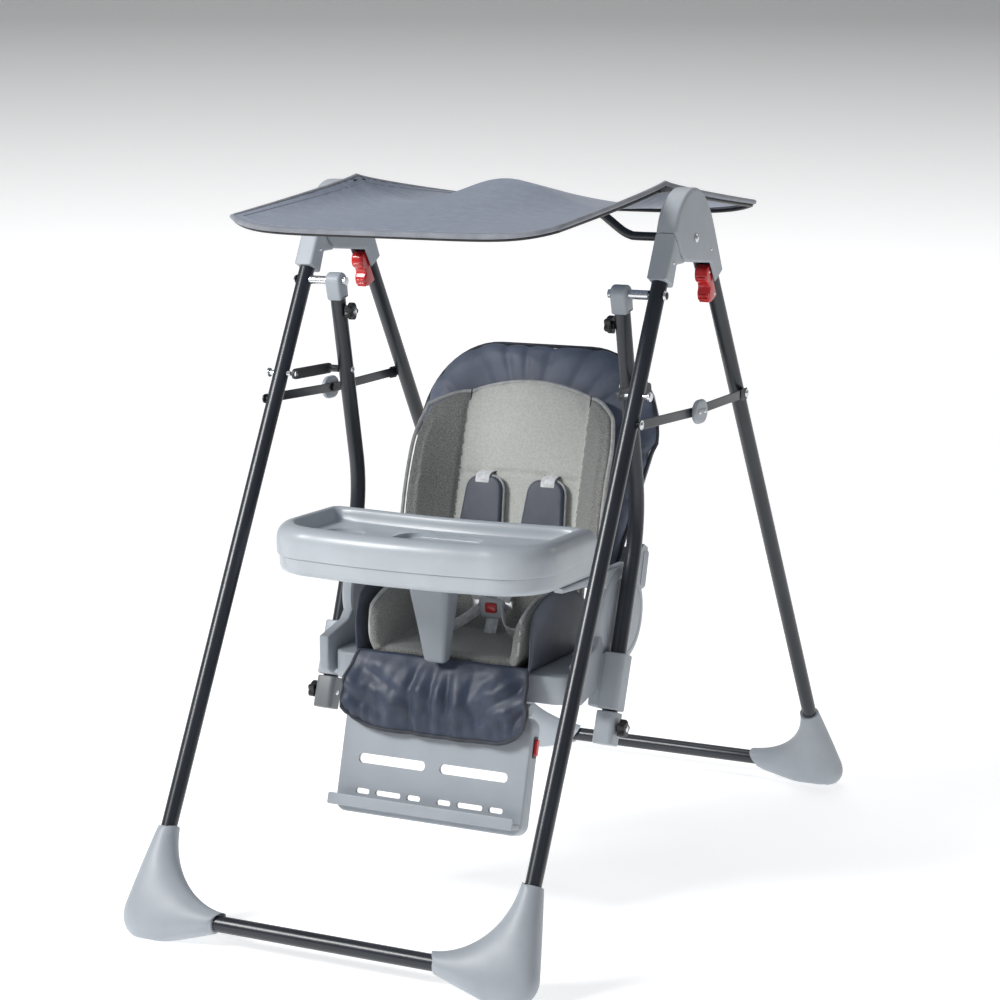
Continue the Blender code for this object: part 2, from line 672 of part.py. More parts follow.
def make_knob(name, side, x, point, outward, stud_end):
    """A star knob on a stud. It points along outward from x."""
    count = 30
    across = [2 * math.pi * i / count for i in range(count)]
    star = [(0.0125 + 0.0022 * math.cos(5 * a), a) for a in across]
    levels = (
        (stud_end, 0.0030, None), (0.0, 0.0030, None), (0.0, 0.0062, None), (0.004, 0.0062, None),
        (0.004, 1.0, star), (0.013, 1.0, star), (0.0155, 0.84, star),
    )
    rings = []
    for height, scale, shape in levels:
        ring = []
        for i, a in enumerate(across):
            r = scale if shape is None else shape[i][0] * scale
            y, z = point[0] + r * math.cos(a), point[1] + r * math.sin(a)
            ring.append(at(side * x + outward * height, y, z))
        rings.append(ring)
    loft(name, rings, BLACK)


def make_lock(side, name):
    """The swing lock: a pin through the front leg and the notched bar on the arm that it enters."""
    pin_y = -LEG_Y_AT_1M - (1 - LOCK_PIN_Z) * FRONT_SPREAD
    pin = (
        (0.0034, -0.0185), (0.0042, -0.0170), (0.0042, 0.0210), (0.0075, 0.0210), (0.0075, 0.0240),
        (0.0055, 0.0255),
    )
    origin = at(side * LEG_X, pin_y, LOCK_PIN_Z)
    turned(f"swing_lock_pin_{name}", pin, origin, (side, 0, 0), CHROME, 12)
    outline = hull(
        circle((pin_y, LOCK_PIN_Z), 0.0085, 16) + circle(LOCK_ARM_POINT, 0.0085, 16)
    )
    bar = slab(
        f"swing_lock_bar_{name}", outline, side_plane(side * 0.2865), -0.0020, 0.0020, DARK_GREY
    )
    stud = turned(
        f"lock_bar_stud_{name}",
        ((0.0040, -0.0215), (0.0040, -0.0183), (0.0060, -0.0183), (0.0060, 0.0010)),
        at(side * 0.2845, *LOCK_ARM_POINT), (side, 0, 0), None, 12,
    )
    combine(bar, stud, "UNION")
    drill(bar, at(side * 0.2865, pin_y, LOCK_PIN_Z), (1, 0, 0), 0.0055, 0.02, 12)


def make_side_panel(side, name):
    """The seat's side: a disc over the recline axis, a cheek along the seat, the sleeve that takes
    the swing arm, and the armrest under the tray."""
    place = side_plane(0)
    mirrored = lambda a, b, c: place(a, b, side * c)
    panel = slab(f"side_panel_{name}", circle(DISC, DISC_R, 32), mirrored, *PANEL_X, LIGHT_GREY, rim=0.004)
    cheek = hull(circle(DISC, DISC_R - 0.010, 24) + [(-0.205, 0.3420), (-0.205, 0.3880)])
    combine(panel, slab(f"cheek_{name}", cheek, mirrored, 0.2148, 0.2338, rim=0.003), "UNION")
    post = hull([(-0.062, 0.500), (-0.018, 0.500), (-0.030, 0.5295), (-0.262, 0.5295), (-0.264, 0.5220)])
    combine(panel, slab(f"armrest_{name}", post, mirrored, 0.2160, 0.2330, rim=0.003), "UNION")
    centre = along_run(0.3575)
    down = run_direction()
    out = (-down[1], down[0])
    half_length = 0.0445

    def around_run(a, b, c):
        y = centre[0] + down[0] * c + out[0] * b
        return at(side * ARM_X + a, y, centre[1] + down[1] * c + out[1] * b)

    outline = rounded_box(SLEEVE_HALF, SLEEVE_HALF, 0.008)
    sleeve = slab(f"sleeve_{name}", outline, around_run, -half_length, half_length)
    combine(panel, sleeve, "UNION")
    bridge = rounded_box(0.012, 0.016, 0.004)
    bridge_slab = slab(
        f"bridge_{name}", [(a - side * 0.021, b) for a, b in bridge], around_run, -0.0400, 0.0420
    )
    combine(panel, bridge_slab, "UNION")
    drill(panel, at(side * ARM_X, *centre), (0, *down), LEG_R + FIT, 0.2)


def make_arm_clamp(side, name):
    """The cap under the sleeve that closes on the arm's end, with the lower knob's hole."""
    down = run_direction()
    out = (-down[1], down[0])
    centre = along_run(0.2875)

    def around_run(a, b, c):
        y = centre[0] + down[0] * c + out[0] * b
        return at(side * (ARM_X + a), y, centre[1] + down[1] * c + out[1] * b)

    outline = rounded_box(0.0170, 0.0175, 0.008)
    clamp = slab(f"arm_clamp_{name}", outline, around_run, -0.0270, 0.0250, DARK_GREY)
    end = along_run(0.2755)
    bore = at(side * ARM_X, end[0] - down[0] * 0.040, end[1] - down[1] * 0.040)
    drill(clamp, bore, (0, *down), LEG_R + FIT, 0.0802)
    drill(clamp, at(side * (ARM_X + 0.018), *along_run(0.2905)), (1, 0, 0), 0.0034, 0.022, 12)


# The seat ---------------------------------------------------------------------------------------
def make_seat_pan():
    outline = [(a, b - 0.106) for a, b in rounded_box(0.2135, 0.0980, 0.030)]
    slab("seat_pan", outline, at, 0.3300, 0.3750, LIGHT_GREY, rim=0.003)


def make_seat_liner():
    """The grey insert: a pad on the pan whose sides rise as low wings."""

    def surface(u, v):
        w = 2 * u - 1
        floor = max(0.0, abs(w) - 0.62) / 0.38
        x = math.copysign(min(abs(w), 0.62) / 0.62 * 0.128 + 0.030 * math.sin(floor * 1.4), w)
        y = -0.212 + 0.195 * v
        wing = 0.105 * math.sin(math.pi * (0.16 + 0.74 * v)) ** 0.5
        return at(x, y, 0.3758 + wing * floor**1.35)

    cloth_slab("seat_liner", surface, 14, 8, 0.018, GREY_FABRIC)


def back_half_width(h):
    """Half the back cover's width at a height up the backrest."""
    low = 0.172 + 0.048 * min(1.0, max(0.0, h - 0.05) / 0.23)
    top = 0.414
    shoulder = 0.135
    if h < top - shoulder:
        return low
    t = (h - top + shoulder) / shoulder
    return 0.110 + 0.110 * math.sqrt(max(0.0, 1 - t * t))


def back_outline(shrink):
    heights = [0.018 + i * 0.066 for i in range(5)] + [0.318, 0.350, 0.376, 0.396, 0.408, 0.414]
    right = [(back_half_width(h) - shrink, h - shrink * h / 0.414) for h in heights]
    return [(w, h) for w, h in right] + [(-w, h) for w, h in right[::-1]]


def make_backrest():
    shell = slab(
        "backrest_shell", back_outline(0.012), on_back, -0.0340, -0.0130, LIGHT_GREY, rim=0.004
    )
    sill = [(w, h + 0.055) for w, h in rounded_box(0.2125, 0.0330, 0.008)]
    combine(shell, slab("backrest_sill", sill, on_back, -0.0330, -0.0140), "UNION")
    place = side_plane(0)
    for name, side in SIDES:
        outline = hull(circle(DISC, 0.020, 16) + [(0.0800, 0.4760), (0.0960, 0.5300), (0.0820, 0.5380)])
        lug = slab(
            f"recline_lug_{name}", outline, lambda a, b, c, s=side: place(a, b, s * c), 0.1995, 0.2115
        )
        combine(shell, lug, "UNION")
    slab("back_cover", back_outline(0.0), on_back, -0.0125, 0.0165, SLATE_FABRIC, rim=0.009)
    slab(
        "recline_handle", [(a, b + 0.300) for a, b in rounded_box(0.055, 0.018, 0.010)], on_back,
        -0.0520, -0.0345, DARK_GREY, rim=0.005,
    )


def make_back_liner():
    """The grey insert of the back: a flat panel with deep wings on both sides."""

    def surface(u, v):
        w = 2 * u - 1
        wing = max(0.0, abs(w) - 0.55) / 0.45
        x = math.copysign(min(abs(w), 0.55) / 0.55 * 0.112 + 0.066 * wing, w)
        crown = 0.352 - 0.030 * (abs(x) / 0.11) ** 2 if abs(x) < 0.11 else 0.322 - 0.050 * wing**2
        h = 0.010 + (crown - 0.010) * v
        depth = 0.062 * math.sin(math.pi * min(1.0, 0.20 + 0.68 * v)) ** 0.6
        return on_back(x, h, 0.0175 + depth * wing)

    cloth_slab("back_liner", surface, 16, 10, 0.018, GREY_FABRIC)


def make_legrest():
    """The board under the apron: two long slots, three short ones a side and a foot ledge."""
    back, front = LEGREST_N
    middle, half = sum(LEGREST_T) / 2, (LEGREST_T[1] - LEGREST_T[0]) / 2
    outline = [(a, b + middle) for a, b in rounded_box(LEGREST_HALF_X, half, 0.016)]
    panel = slab("legrest_panel", outline, on_legrest, back, front, LIGHT_GREY, rim=0.003)
    inside = [(a, b + middle) for a, b in rounded_box(LEGREST_HALF_X - 0.005, half - 0.005, 0.012)]
    combine(panel, slab("legrest_hollow", inside, on_legrest, back - 0.02, front - 0.006), "DIFFERENCE")
    web = [(a, b + 0.0110) for a, b in rounded_box(0.1450, 0.0110, 0.003)]
    combine(panel, slab("legrest_web", web, on_legrest, -0.0070, front - 0.004), "UNION")
    barrel = [on_legrest(x, 0, 0) for x in (-0.150, 0.150)]
    combine(panel, rod("legrest_barrel", barrel, 0.0100), "UNION")
    for side in (-1, 1):
        slots = [(side * 0.0730, 0.1080, 0.0600, 0.0077, 0.006)]
        for x, half_x in ((-0.046, 0.0125), (0, 0.023), (0.046, 0.0125)):
            slots.append((side * 0.0730 + x, 0.1600, half_x, 0.0042, 0.004))
        for k, (x, t, half_x, half_t, r) in enumerate(slots):
            slot = [(a + x, b + t) for a, b in rounded_box(half_x, half_t, r)]
            combine(panel, slab(f"legrest_slot_{side}_{k}", slot, on_legrest, -0.02, 0.04), "DIFFERENCE")
        block = [(a + side * 0.1530, b + 0.0560) for a, b in rounded_box(0.0100, 0.0180, 0.002)]
        combine(panel, slab(f"button_block_{side}", block, on_legrest, back, front - 0.004), "UNION")
    ledge = rounded_box(LEGREST_HALF_X - 0.002, 0.0160, 0.006)
    place_ledge = lambda a, b, c: on_legrest(a, 0.1765 + c, front + 0.0125 + b)
    shelf = slab("foot_ledge", ledge, place_ledge, -0.0090, 0.0090, rim=0.003)
    combine(panel, shelf, "UNION")
    flap = [(a, b + 0.0330) for a, b in rounded_box(0.1600, 0.0270, 0.018)]
    slab("front_flap", flap, on_legrest, front + 0.0005, front + 0.0085, SLATE_FABRIC, rim=0.002)
    for name, side in SIDES:
        place = lambda a, b, c, s=side: on_legrest(s * c, 0.0560 + a, b + 0.004)
        pocket = slab(
            f"button_pocket_{name}", rounded_box(0.0134, 0.0049, 0.0034), place, 0.1530, 0.1800
        )
        combine(panel, pocket, "DIFFERENCE")
        slab(
            f"legrest_button_{name}", rounded_box(0.0130, 0.0045, 0.003), place, 0.1580, 0.1710,
            RED if side > 0 else BLACK, rim=0.001,
        )


def tray_outline(shrink):
    """The tray in plan: a hollowed back edge, round front corners and a bowed front."""
    radius = 0.085
    bow = 0.012
    hollow = 0.018
    count = 6
    front = TRAY_FRONT_Y + bow
    outline = []
    for i in range(count + 1):
        x = TRAY_HALF_X - 2 * TRAY_HALF_X * i / count
        outline.append((x, TRAY_BACK_Y - hollow * (1 - (x / TRAY_HALF_X) ** 2)))
    outline += arc((-TRAY_HALF_X + radius, front + radius), radius, 180, 270, 6)
    span = TRAY_HALF_X - radius
    for i in range(1, count):
        x = -span + 2 * span * i / count
        outline.append((x, front - bow * (1 - (x / span) ** 2)))
    outline += arc((TRAY_HALF_X - radius, front + radius), radius, 270, 360, 6)
    return inset(outline, shrink) if shrink else outline


def make_tray():
    slab("tray_base", tray_outline(0.004), at, TRAY_Z[0], TRAY_Z[1] - FIT, LIGHT_GREY, rim=0.006)
    top = slab("tray_top", tray_outline(0.0), at, TRAY_Z[1], TRAY_Z[2], LIGHT_GREY, rim=0.012, steps=3)
    floor = TRAY_Z[2] - 0.022
    combine(top, slab("tray_well", tray_outline(0.030), at, floor, 0.65), "DIFFERENCE")
    cup = turned(
        "cup_well", ((0.034, 0.0), (0.036, 0.05)), at(-0.155, -0.262, floor - 0.012), (0, 0, 1)
    )
    combine(top, cup, "DIFFERENCE")
    rings = []
    for z, half_x, half_y, y in (
        (0.5297, 0.0370, 0.0300, -0.2450), (0.5100, 0.0350, 0.0270, -0.2440),
        (0.4500, 0.0270, 0.0190, -0.2390), (0.4000, 0.0200, 0.0130, -0.2360),
        (0.3860, 0.0160, 0.0100, -0.2355),
    ):
        rings.append([at(a, y + b, z) for a, b in rounded_box(half_x, half_y, half_y * 0.55)])
    loft("crotch_post", rings, LIGHT_GREY)


def make_harness():
    """Two padded shoulder straps down the back, and the buckle on its crotch strap."""
    for name, side in SIDES:
        pad = [(side * 0.056 + a, b + 0.116) for a, b in rounded_box(0.0260, 0.0620, 0.014)]
        slab(f"shoulder_strap_{name}", pad, on_back, 0.0400, 0.0530, SLATE_FABRIC, rim=0.003)
    place = lambda a, b, c: at(a, BUCKLE[0] - c, BUCKLE[1] + b)
    buckle_outline = rounded_box(0.0250, 0.0200, 0.008)
    buckle = slab("harness_buckle", buckle_outline, place, -0.0065, 0.0065, CHROME, rim=0.002)
    strap = [(a, b - 0.0180) for a, b in rounded_box(0.0110, 0.0170, 0.002)]
    combine(buckle, slab("crotch_strap", strap, place, -0.0015, 0.0015), "UNION")
    pocket = slab("buckle_pocket", rounded_box(0.0104, 0.0084, 0.0034), place, 0.0005, 0.0120)
    combine(buckle, pocket, "DIFFERENCE")
    slab("buckle_button", rounded_box(0.0100, 0.0080, 0.003), place, 0.0045, 0.0095, RED, rim=0.001)


def main():
    for obj in list(bpy.data.objects):
        bpy.data.objects.remove(obj)
    for name, side in SIDES:
        for prefix, leg in (("front", front_leg), ("rear", rear_leg)):
            make_legs(prefix, leg, side, name)
            make_boot(prefix, leg, side, name)
        make_head(side, name)
        make_front_socket(side, name)
        make_fold_pin(side, name)
        make_release_lever(side, name)
        make_stays(side, name)
        make_axle(side, name)
        make_elbow(side, name)
        make_arm(side, name)
        make_knob(f"upper_knob_{name}", side, ARM_X - 0.0130, upper_knob_point(), -side, -0.0180)
        make_knob(f"lower_knob_{name}", side, ARM_X + 0.0174, along_run(0.2905), side, -0.0120)
        make_lock(side, name)
        make_side_panel(side, name)
        make_arm_clamp(side, name)
    make_crossbar("front", front_leg)
    make_crossbar("rear", rear_leg)
    make_canopy()
    make_seat_pan()
    make_seat_liner()
    make_backrest()
    make_back_liner()
    make_legrest()
    make_tray()
    make_harness()


main()
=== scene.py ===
"""The looks of the folding baby swing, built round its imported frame.

Metres, +Z up, +X to the right as seen from the front, -Y to the front.
"""

import math

import bmesh
import bpy
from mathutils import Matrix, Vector, noise


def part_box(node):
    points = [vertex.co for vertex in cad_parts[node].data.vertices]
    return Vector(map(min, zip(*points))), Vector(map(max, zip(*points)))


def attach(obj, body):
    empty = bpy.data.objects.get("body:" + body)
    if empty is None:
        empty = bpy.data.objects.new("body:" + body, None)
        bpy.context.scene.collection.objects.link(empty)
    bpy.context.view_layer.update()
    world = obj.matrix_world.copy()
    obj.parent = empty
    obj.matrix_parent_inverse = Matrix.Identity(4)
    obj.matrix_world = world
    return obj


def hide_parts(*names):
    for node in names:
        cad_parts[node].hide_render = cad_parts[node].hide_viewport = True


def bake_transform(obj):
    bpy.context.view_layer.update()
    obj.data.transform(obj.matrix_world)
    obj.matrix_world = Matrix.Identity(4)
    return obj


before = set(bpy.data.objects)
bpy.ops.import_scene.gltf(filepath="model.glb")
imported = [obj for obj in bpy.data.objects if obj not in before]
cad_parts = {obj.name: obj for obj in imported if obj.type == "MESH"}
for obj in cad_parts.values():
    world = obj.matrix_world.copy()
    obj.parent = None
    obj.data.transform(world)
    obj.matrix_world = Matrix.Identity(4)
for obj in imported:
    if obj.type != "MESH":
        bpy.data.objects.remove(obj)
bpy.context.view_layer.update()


def middle(node):
    """The centre of a CAD node's box."""
    low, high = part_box(node)
    return (low + high) / 2


# Driving dimensions, taken from the frame where it holds them -------------------------------------
SIDES = (("left", -1), ("right", 1))
HEAD_Y = middle("fold_pin_right").y
HEAD_PIVOT = (0.0, middle("fold_pin_right").z)
LEG_X = middle("front_socket_right").x
LEG_R = 0.0125
FRONT_SPREAD = 0.5133
REAR_SPREAD = 0.5933
LEG_Y_AT_1M = 0.088
CROSSBAR_Z = middle("front_crossbar").z
BOOT_TOP_Z = 0.150
BOOT_END_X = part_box("front_foot_right")[0].x
BOOT_SLEEVE_R = 0.0165
BOOT_HEEL = (0.046, -0.043)  # the heel's corner: outwards from the leg and up it from the crossbar
BOOT_SOLE_END = -0.034
BOOT_DEEP = 0.011
HEAD_HALF = (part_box("head_cap_right")[1].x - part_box("head_cap_right")[0].x) / 2
HEAD_SLOT_HALF = 0.0135
SOCKET_HALF = 0.0172
HEAD_SEAM = ((-0.0800, 1.0540), (-0.0690, 1.0400), (-0.0545, 1.0190), (-0.0390, 1.0065))

STAY_Z = 0.777
STAY_SAG = 0.005
STAY_LAYERS = (0.3265, 0.3295, 0.3316)
STAY_BAR_R = 0.0075
STAY_HUB_R = 0.0190
STAY_HUB_X = (0.3320, 0.3404)

SWING_PIVOT = (middle("swing_axle_right").y - HEAD_Y, middle("swing_axle_right").z)
ARM_X = middle("swing_arm_right").x
ARM_CORNER = (-0.0350, 0.6036)
ARM_END = (-0.1514, 0.2755)
ARM_BEND_R = 0.25
SLEEVE_Z = 0.3575
CLAMP_Z = 0.2875

DISC = (-0.052, 0.449)  # the middle of the round recline covers

BACK_FOOT = (0.045, 0.450)
BACK_TILT = math.radians(15)
LEGREST_HINGE = (-0.2055, 0.3180)
LEGREST_TILT = math.radians(15.2)
LEGREST_HALF_X = 0.166
LEGREST_N = (-0.008, 0.020)  # the board's back and front, from the hinge's plane
LEGREST_T = (0.012, 0.195)  # its top and bottom, down from the hinge
LEGREST_SLOT_X = 0.0730  # the middle of each side's group of slots
FOOT_SHELF_T = 0.1805
BACK_TOP = 0.410  # the pad's top, up the back's plane
BACK_SHOULDER = 0.150  # the height of its round top corners
BACK_FOLD_X = 0.110  # where the back insert's middle panel folds into its wings
BUCKLE = (middle("harness_buckle").y - HEAD_Y, 0.437)

TRAY_HALF_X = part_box("tray_top")[1].x
TRAY_BACK_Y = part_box("tray_top")[1].y - HEAD_Y
TRAY_FRONT_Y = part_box("tray_top")[0].y - HEAD_Y
TRAY_SEAM_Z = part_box("tray_top")[0].z
TRAY_TOP_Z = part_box("tray_top")[1].z
TRAY_FLOOR_Z = TRAY_TOP_Z - 0.022
CUP = (-0.150, -0.275)
CUP_R = 0.040
CUP_DEPTH = 0.013
DISH = (0.010, -0.255)
DISH_HALF = (0.072, 0.040)
DISH_DEPTH = 0.008

CANOPY_HALF_X = 0.277
CANOPY_HALF_Y = 0.400
CANOPY_EDGE_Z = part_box("canopy_fabric")[0].z

CAMERA_PLACE = (1.8887, -3.6759, 1.3154)
CAMERA_TURN = math.radians(27.325)
CAMERA_DOWN = math.radians(9.732)
CAMERA_LENS = 92.585


# Places -----------------------------------------------------------------------------------------
def at(x, y, z):
    """A point from its distance across, its distance behind the head's middle and its height."""
    return Vector((x, y + HEAD_Y, z))


def side_plane(x, way=1):
    """Lays an outline of (y, z) points in the plane at x. It grows away from the middle if way is
    the side's sign."""
    return lambda a, b, c: at(x + way * c, a, b)


def unit(y, z):
    length = math.hypot(y, z)
    return y / length, z / length


def stepped(point, direction, distance):
    """The (y, z) point a distance away from another."""
    return point[0] + direction[0] * distance, point[1] + direction[1] * distance


def both_sides(point, direction, distance):
    """The two (y, z) points at a distance before and behind another."""
    return [stepped(point, direction, -distance), stepped(point, direction, distance)]


def front_leg(side, z):
    return at(side * LEG_X, -LEG_Y_AT_1M - (1 - z) * FRONT_SPREAD, z)


def rear_leg(side, z):
    return at(side * LEG_X, LEG_Y_AT_1M + (1 - z) * REAR_SPREAD, z)


def on_back(w, h, n):
    """A point of the backrest: across, up its plane, and forward of it."""
    sine, cosine = math.sin(BACK_TILT), math.cos(BACK_TILT)
    return at(w, BACK_FOOT[0] + h * sine - n * cosine, BACK_FOOT[1] + h * cosine + n * sine)


def off_back(point):
    """The (w, h, n) of a point, the reverse of on_back."""
    sine, cosine = math.sin(BACK_TILT), math.cos(BACK_TILT)
    y, z = point.y - HEAD_Y - BACK_FOOT[0], point.z - BACK_FOOT[1]
    return point.x, y * sine + z * cosine, z * sine - y * cosine


def on_legrest(w, t, n):
    """A point of the legrest: across, down from its hinge, and forward of its middle plane."""
    sine, cosine = math.sin(LEGREST_TILT), math.cos(LEGREST_TILT)
    return at(w, LEGREST_HINGE[0] - t * sine - n * cosine, LEGREST_HINGE[1] - t * cosine + n * sine)


def arm_direction():
    return unit(ARM_CORNER[0] - SWING_PIVOT[0], ARM_CORNER[1] - SWING_PIVOT[1])


def run_direction():
    """The way down the arm's lower run."""
    return unit(ARM_END[0] - ARM_CORNER[0], ARM_END[1] - ARM_CORNER[1])


def along_run(z):
    down = run_direction()
    t = (z - ARM_END[1]) / down[1]
    return ARM_END[0] + down[0] * t, z


# Outlines ---------------------------------------------------------------------------------------
def arc(centre, radius, start, end, count):
    angles = [math.radians(start + (end - start) * i / count) for i in range(count + 1)]
    return [(centre[0] + radius * math.cos(a), centre[1] + radius * math.sin(a)) for a in angles]


def circle(centre, radius, count=48):
    return arc(centre, radius, 0, 360, count)[:-1]


def hull(points):
    """The convex outline round a set of points."""
    ordered = sorted(set(points))
    outline = []
    for run in (ordered, ordered[::-1]):
        chain = []
        for p in run:
            while len(chain) > 1:
                (ax, ay), (bx, by) = chain[-2], chain[-1]
                if (bx - ax) * (p[1] - ay) - (by - ay) * (p[0] - ax) > 0:
                    break
                chain.pop()
            chain.append(p)
        outline += chain[:-1]
    return outline


def inset(outline, distance):
    """The outline moved inwards by a distance."""
    count = len(outline)
    area = sum(
        outline[i - 1][0] * outline[i][1] - outline[i][0] * outline[i - 1][1]
        for i in range(count)
    )
    turn = 1 if area > 0 else -1
    moved = []
    for i, (x, y) in enumerate(outline):
        ax, ay = unit(x - outline[i - 1][0], y - outline[i - 1][1])
        bx, by = unit(outline[(i + 1) % count][0] - x, outline[(i + 1) % count][1] - y)
        nx, ny = unit(-(ay + by), ax + bx)
        reach = distance / max(0.5, -ay * nx + ax * ny)
        moved.append((x + turn * nx * reach, y + turn * ny * reach))
    return moved


def rounded_box(half_a, half_b, radius, count=8):
    outline = []
    for i, (sa, sb) in enumerate(((1, 1), (-1, 1), (-1, -1), (1, -1))):
        corner = (sa * (half_a - radius), sb * (half_b - radius))
        outline += arc(corner, radius, 90 * i, 90 * i + 90, count)
    return outline


def spline(points, per=6):
    """A smooth curve through points, given as tuples of any length."""
    last = len(points) - 1
    smooth = []
    for i in range(last):
        p = [points[min(max(k, 0), last)] for k in (i - 1, i, i + 1, i + 2)]
        for s in range(per):
            t = s / per
            smooth.append(
                tuple(
                    0.5 * (2 * b + (c - a) * t + (2 * a - 5 * b + 4 * c - d) * t**2)
                    + 0.5 * (3 * b - a - 3 * c + d) * t**3
                    for a, b, c, d in zip(*p)
                )
            )
    return smooth + [tuple(points[-1])]


def rounded_corners(points, radius, count=5):
    """A closed outline with its corners rounded."""
    outline = []
    for i, point in enumerate(points):
        c = Vector(point)
        u, v = Vector(points[i - 1]) - c, Vector(points[(i + 1) % len(points)]) - c
        r = min(radius, u.length * 0.45, v.length * 0.45)
        a, b = c + u.normalized() * r, c + v.normalized() * r
        for s in range(count + 1):
            t = s / count
            outline.append(tuple(a * (1 - t) ** 2 + c * 2 * t * (1 - t) + b * t**2))
    return outline


# Materials --------------------------------------------------------------------------------------
WAVE_SCALE = 0.314  # the wave texture's scale for one rib to a metre


def material(name, colour, roughness, metallic=0.0, coat=0.0, sheen=0.0):
    """A principled material of one colour, for its details to be added to."""
    made = bpy.data.materials.new(name)
    made.use_nodes = True
    shader = made.node_tree.nodes["Principled BSDF"]
    shader.inputs["Base Color"].default_value = (*colour, 1)
    shader.inputs["Roughness"].default_value = roughness
    shader.inputs["Metallic"].default_value = metallic
    shader.inputs["Coat Weight"].default_value = coat
    shader.inputs["Coat Roughness"].default_value = 0.12
    shader.inputs["Sheen Weight"].default_value = sheen
    shader.inputs["Sheen Roughness"].default_value = 0.5
    return made


def node(mat, kind, **settings):
    made = mat.node_tree.nodes.new(kind)
    for key, value in settings.items():
        if hasattr(made, key):
            setattr(made, key, value)
        else:
            made.inputs[key.replace("_", " ")].default_value = value
    return made


def link(mat, source, target, out=0, into=0):
    mat.node_tree.links.new(source.outputs[out], target.inputs[into])


def noise_node(mat, scale, detail=2.0):
    place = node(mat, "ShaderNodeTexCoord")
    texture = node(mat, "ShaderNodeTexNoise", Scale=scale, Detail=detail)
    link(mat, place, texture, "Object", "Vector")
    return texture


def tint(mat, texture, dark, light):
    """Colours the base from dark to light by a texture."""
    ramp = node(mat, "ShaderNodeValToRGB")
    ramp.color_ramp.elements[0].position = 0.35
    ramp.color_ramp.elements[1].position = 0.65
    ramp.color_ramp.elements[0].color = (*dark, 1)
    ramp.color_ramp.elements[1].color = (*light, 1)
    link(mat, texture, ramp, "Fac", "Fac")
    link(mat, ramp, mat.node_tree.nodes["Principled BSDF"], "Color", "Base Color")


def vary_roughness(mat, texture, low, high):
    span = node(mat, "ShaderNodeMapRange", To_Min=low, To_Max=high)
    link(mat, texture, span, "Fac", "Value")
    link(mat, span, mat.node_tree.nodes["Principled BSDF"], "Result", "Roughness")


def bump(mat, textures, strength, distance):
    """Bumps the surface by one texture, or by the product of several."""
    height = textures[0].outputs["Fac"]
    for texture in textures[1:]:
        product = node(mat, "ShaderNodeMath", operation="MULTIPLY")
        mat.node_tree.links.new(height, product.inputs[0])
        mat.node_tree.links.new(texture.outputs["Fac"], product.inputs[1])
        height = product.outputs[0]
    made = node(mat, "ShaderNodeBump", Strength=strength, Distance=distance)
    mat.node_tree.links.new(height, made.inputs["Height"])
    link(mat, made, mat.node_tree.nodes["Principled BSDF"], "Normal", "Normal")
    return made


def thread_waves(mat, pitch):
    """Ribs across each axis, whose product is a weave on a surface that faces any way."""
    waves = []
    for direction in ("X", "Y", "Z"):
        place = node(mat, "ShaderNodeTexCoord")
        wave = node(mat, "ShaderNodeTexWave", bands_direction=direction, Distortion=0.6)
        wave.inputs["Scale"].default_value = WAVE_SCALE / pitch
        link(mat, place, wave, "Object", "Vector")
        waves.append(wave)
    return waves


def cloth_material(name, dark, light, pitch, roughness, sheen, mottle, strength=0.35):
    """Woven cloth: mottled colour, a weave and soft creases."""
    mat = material(name, light, roughness, sheen=sheen)
    tint(mat, noise_node(mat, mottle, 4.0), dark, light)
    weave = bump(mat, thread_waves(mat, pitch), strength, 0.0004)
    creases = node(mat, "ShaderNodeBump", Strength=0.25, Distance=0.002)
    link(mat, noise_node(mat, 38.0, 3.0), creases, "Fac", "Height")
    link(mat, creases, weave, "Normal", "Normal")
    return mat


def plastic_material(name, colour, roughness, grain=1400.0, coat=0.0):
    """Moulded plastic: fine grain, and slightly uneven gloss."""
    mat = material(name, colour, roughness, coat=coat)
    dark = tuple(c * 0.94 for c in colour)
    tint(mat, noise_node(mat, 22.0, 3.0), dark, colour)
    vary_roughness(mat, noise_node(mat, 60.0, 4.0), roughness - 0.05, roughness + 0.07)
    bump(mat, [noise_node(mat, grain, 2.0)], 0.12, 0.0002)
    return mat


def tube_material():
    """Satin powder coat with a faint orange peel."""
    mat = material("navy_powder_coat", (0.018, 0.022, 0.030), 0.30, coat=0.15)
    tint(mat, noise_node(mat, 9.0, 2.0), (0.014, 0.017, 0.024), (0.021, 0.026, 0.035))
    vary_roughness(mat, noise_node(mat, 40.0, 4.0), 0.26, 0.38)
    bump(mat, [noise_node(mat, 420.0, 2.0)], 0.10, 0.0002)
    return mat


def metal_material():
    """Plated steel with fine wear."""
    mat = material("plated_steel", (0.72, 0.73, 0.75), 0.22, metallic=1.0)
    vary_roughness(mat, noise_node(mat, 180.0, 5.0), 0.14, 0.36)
    return mat


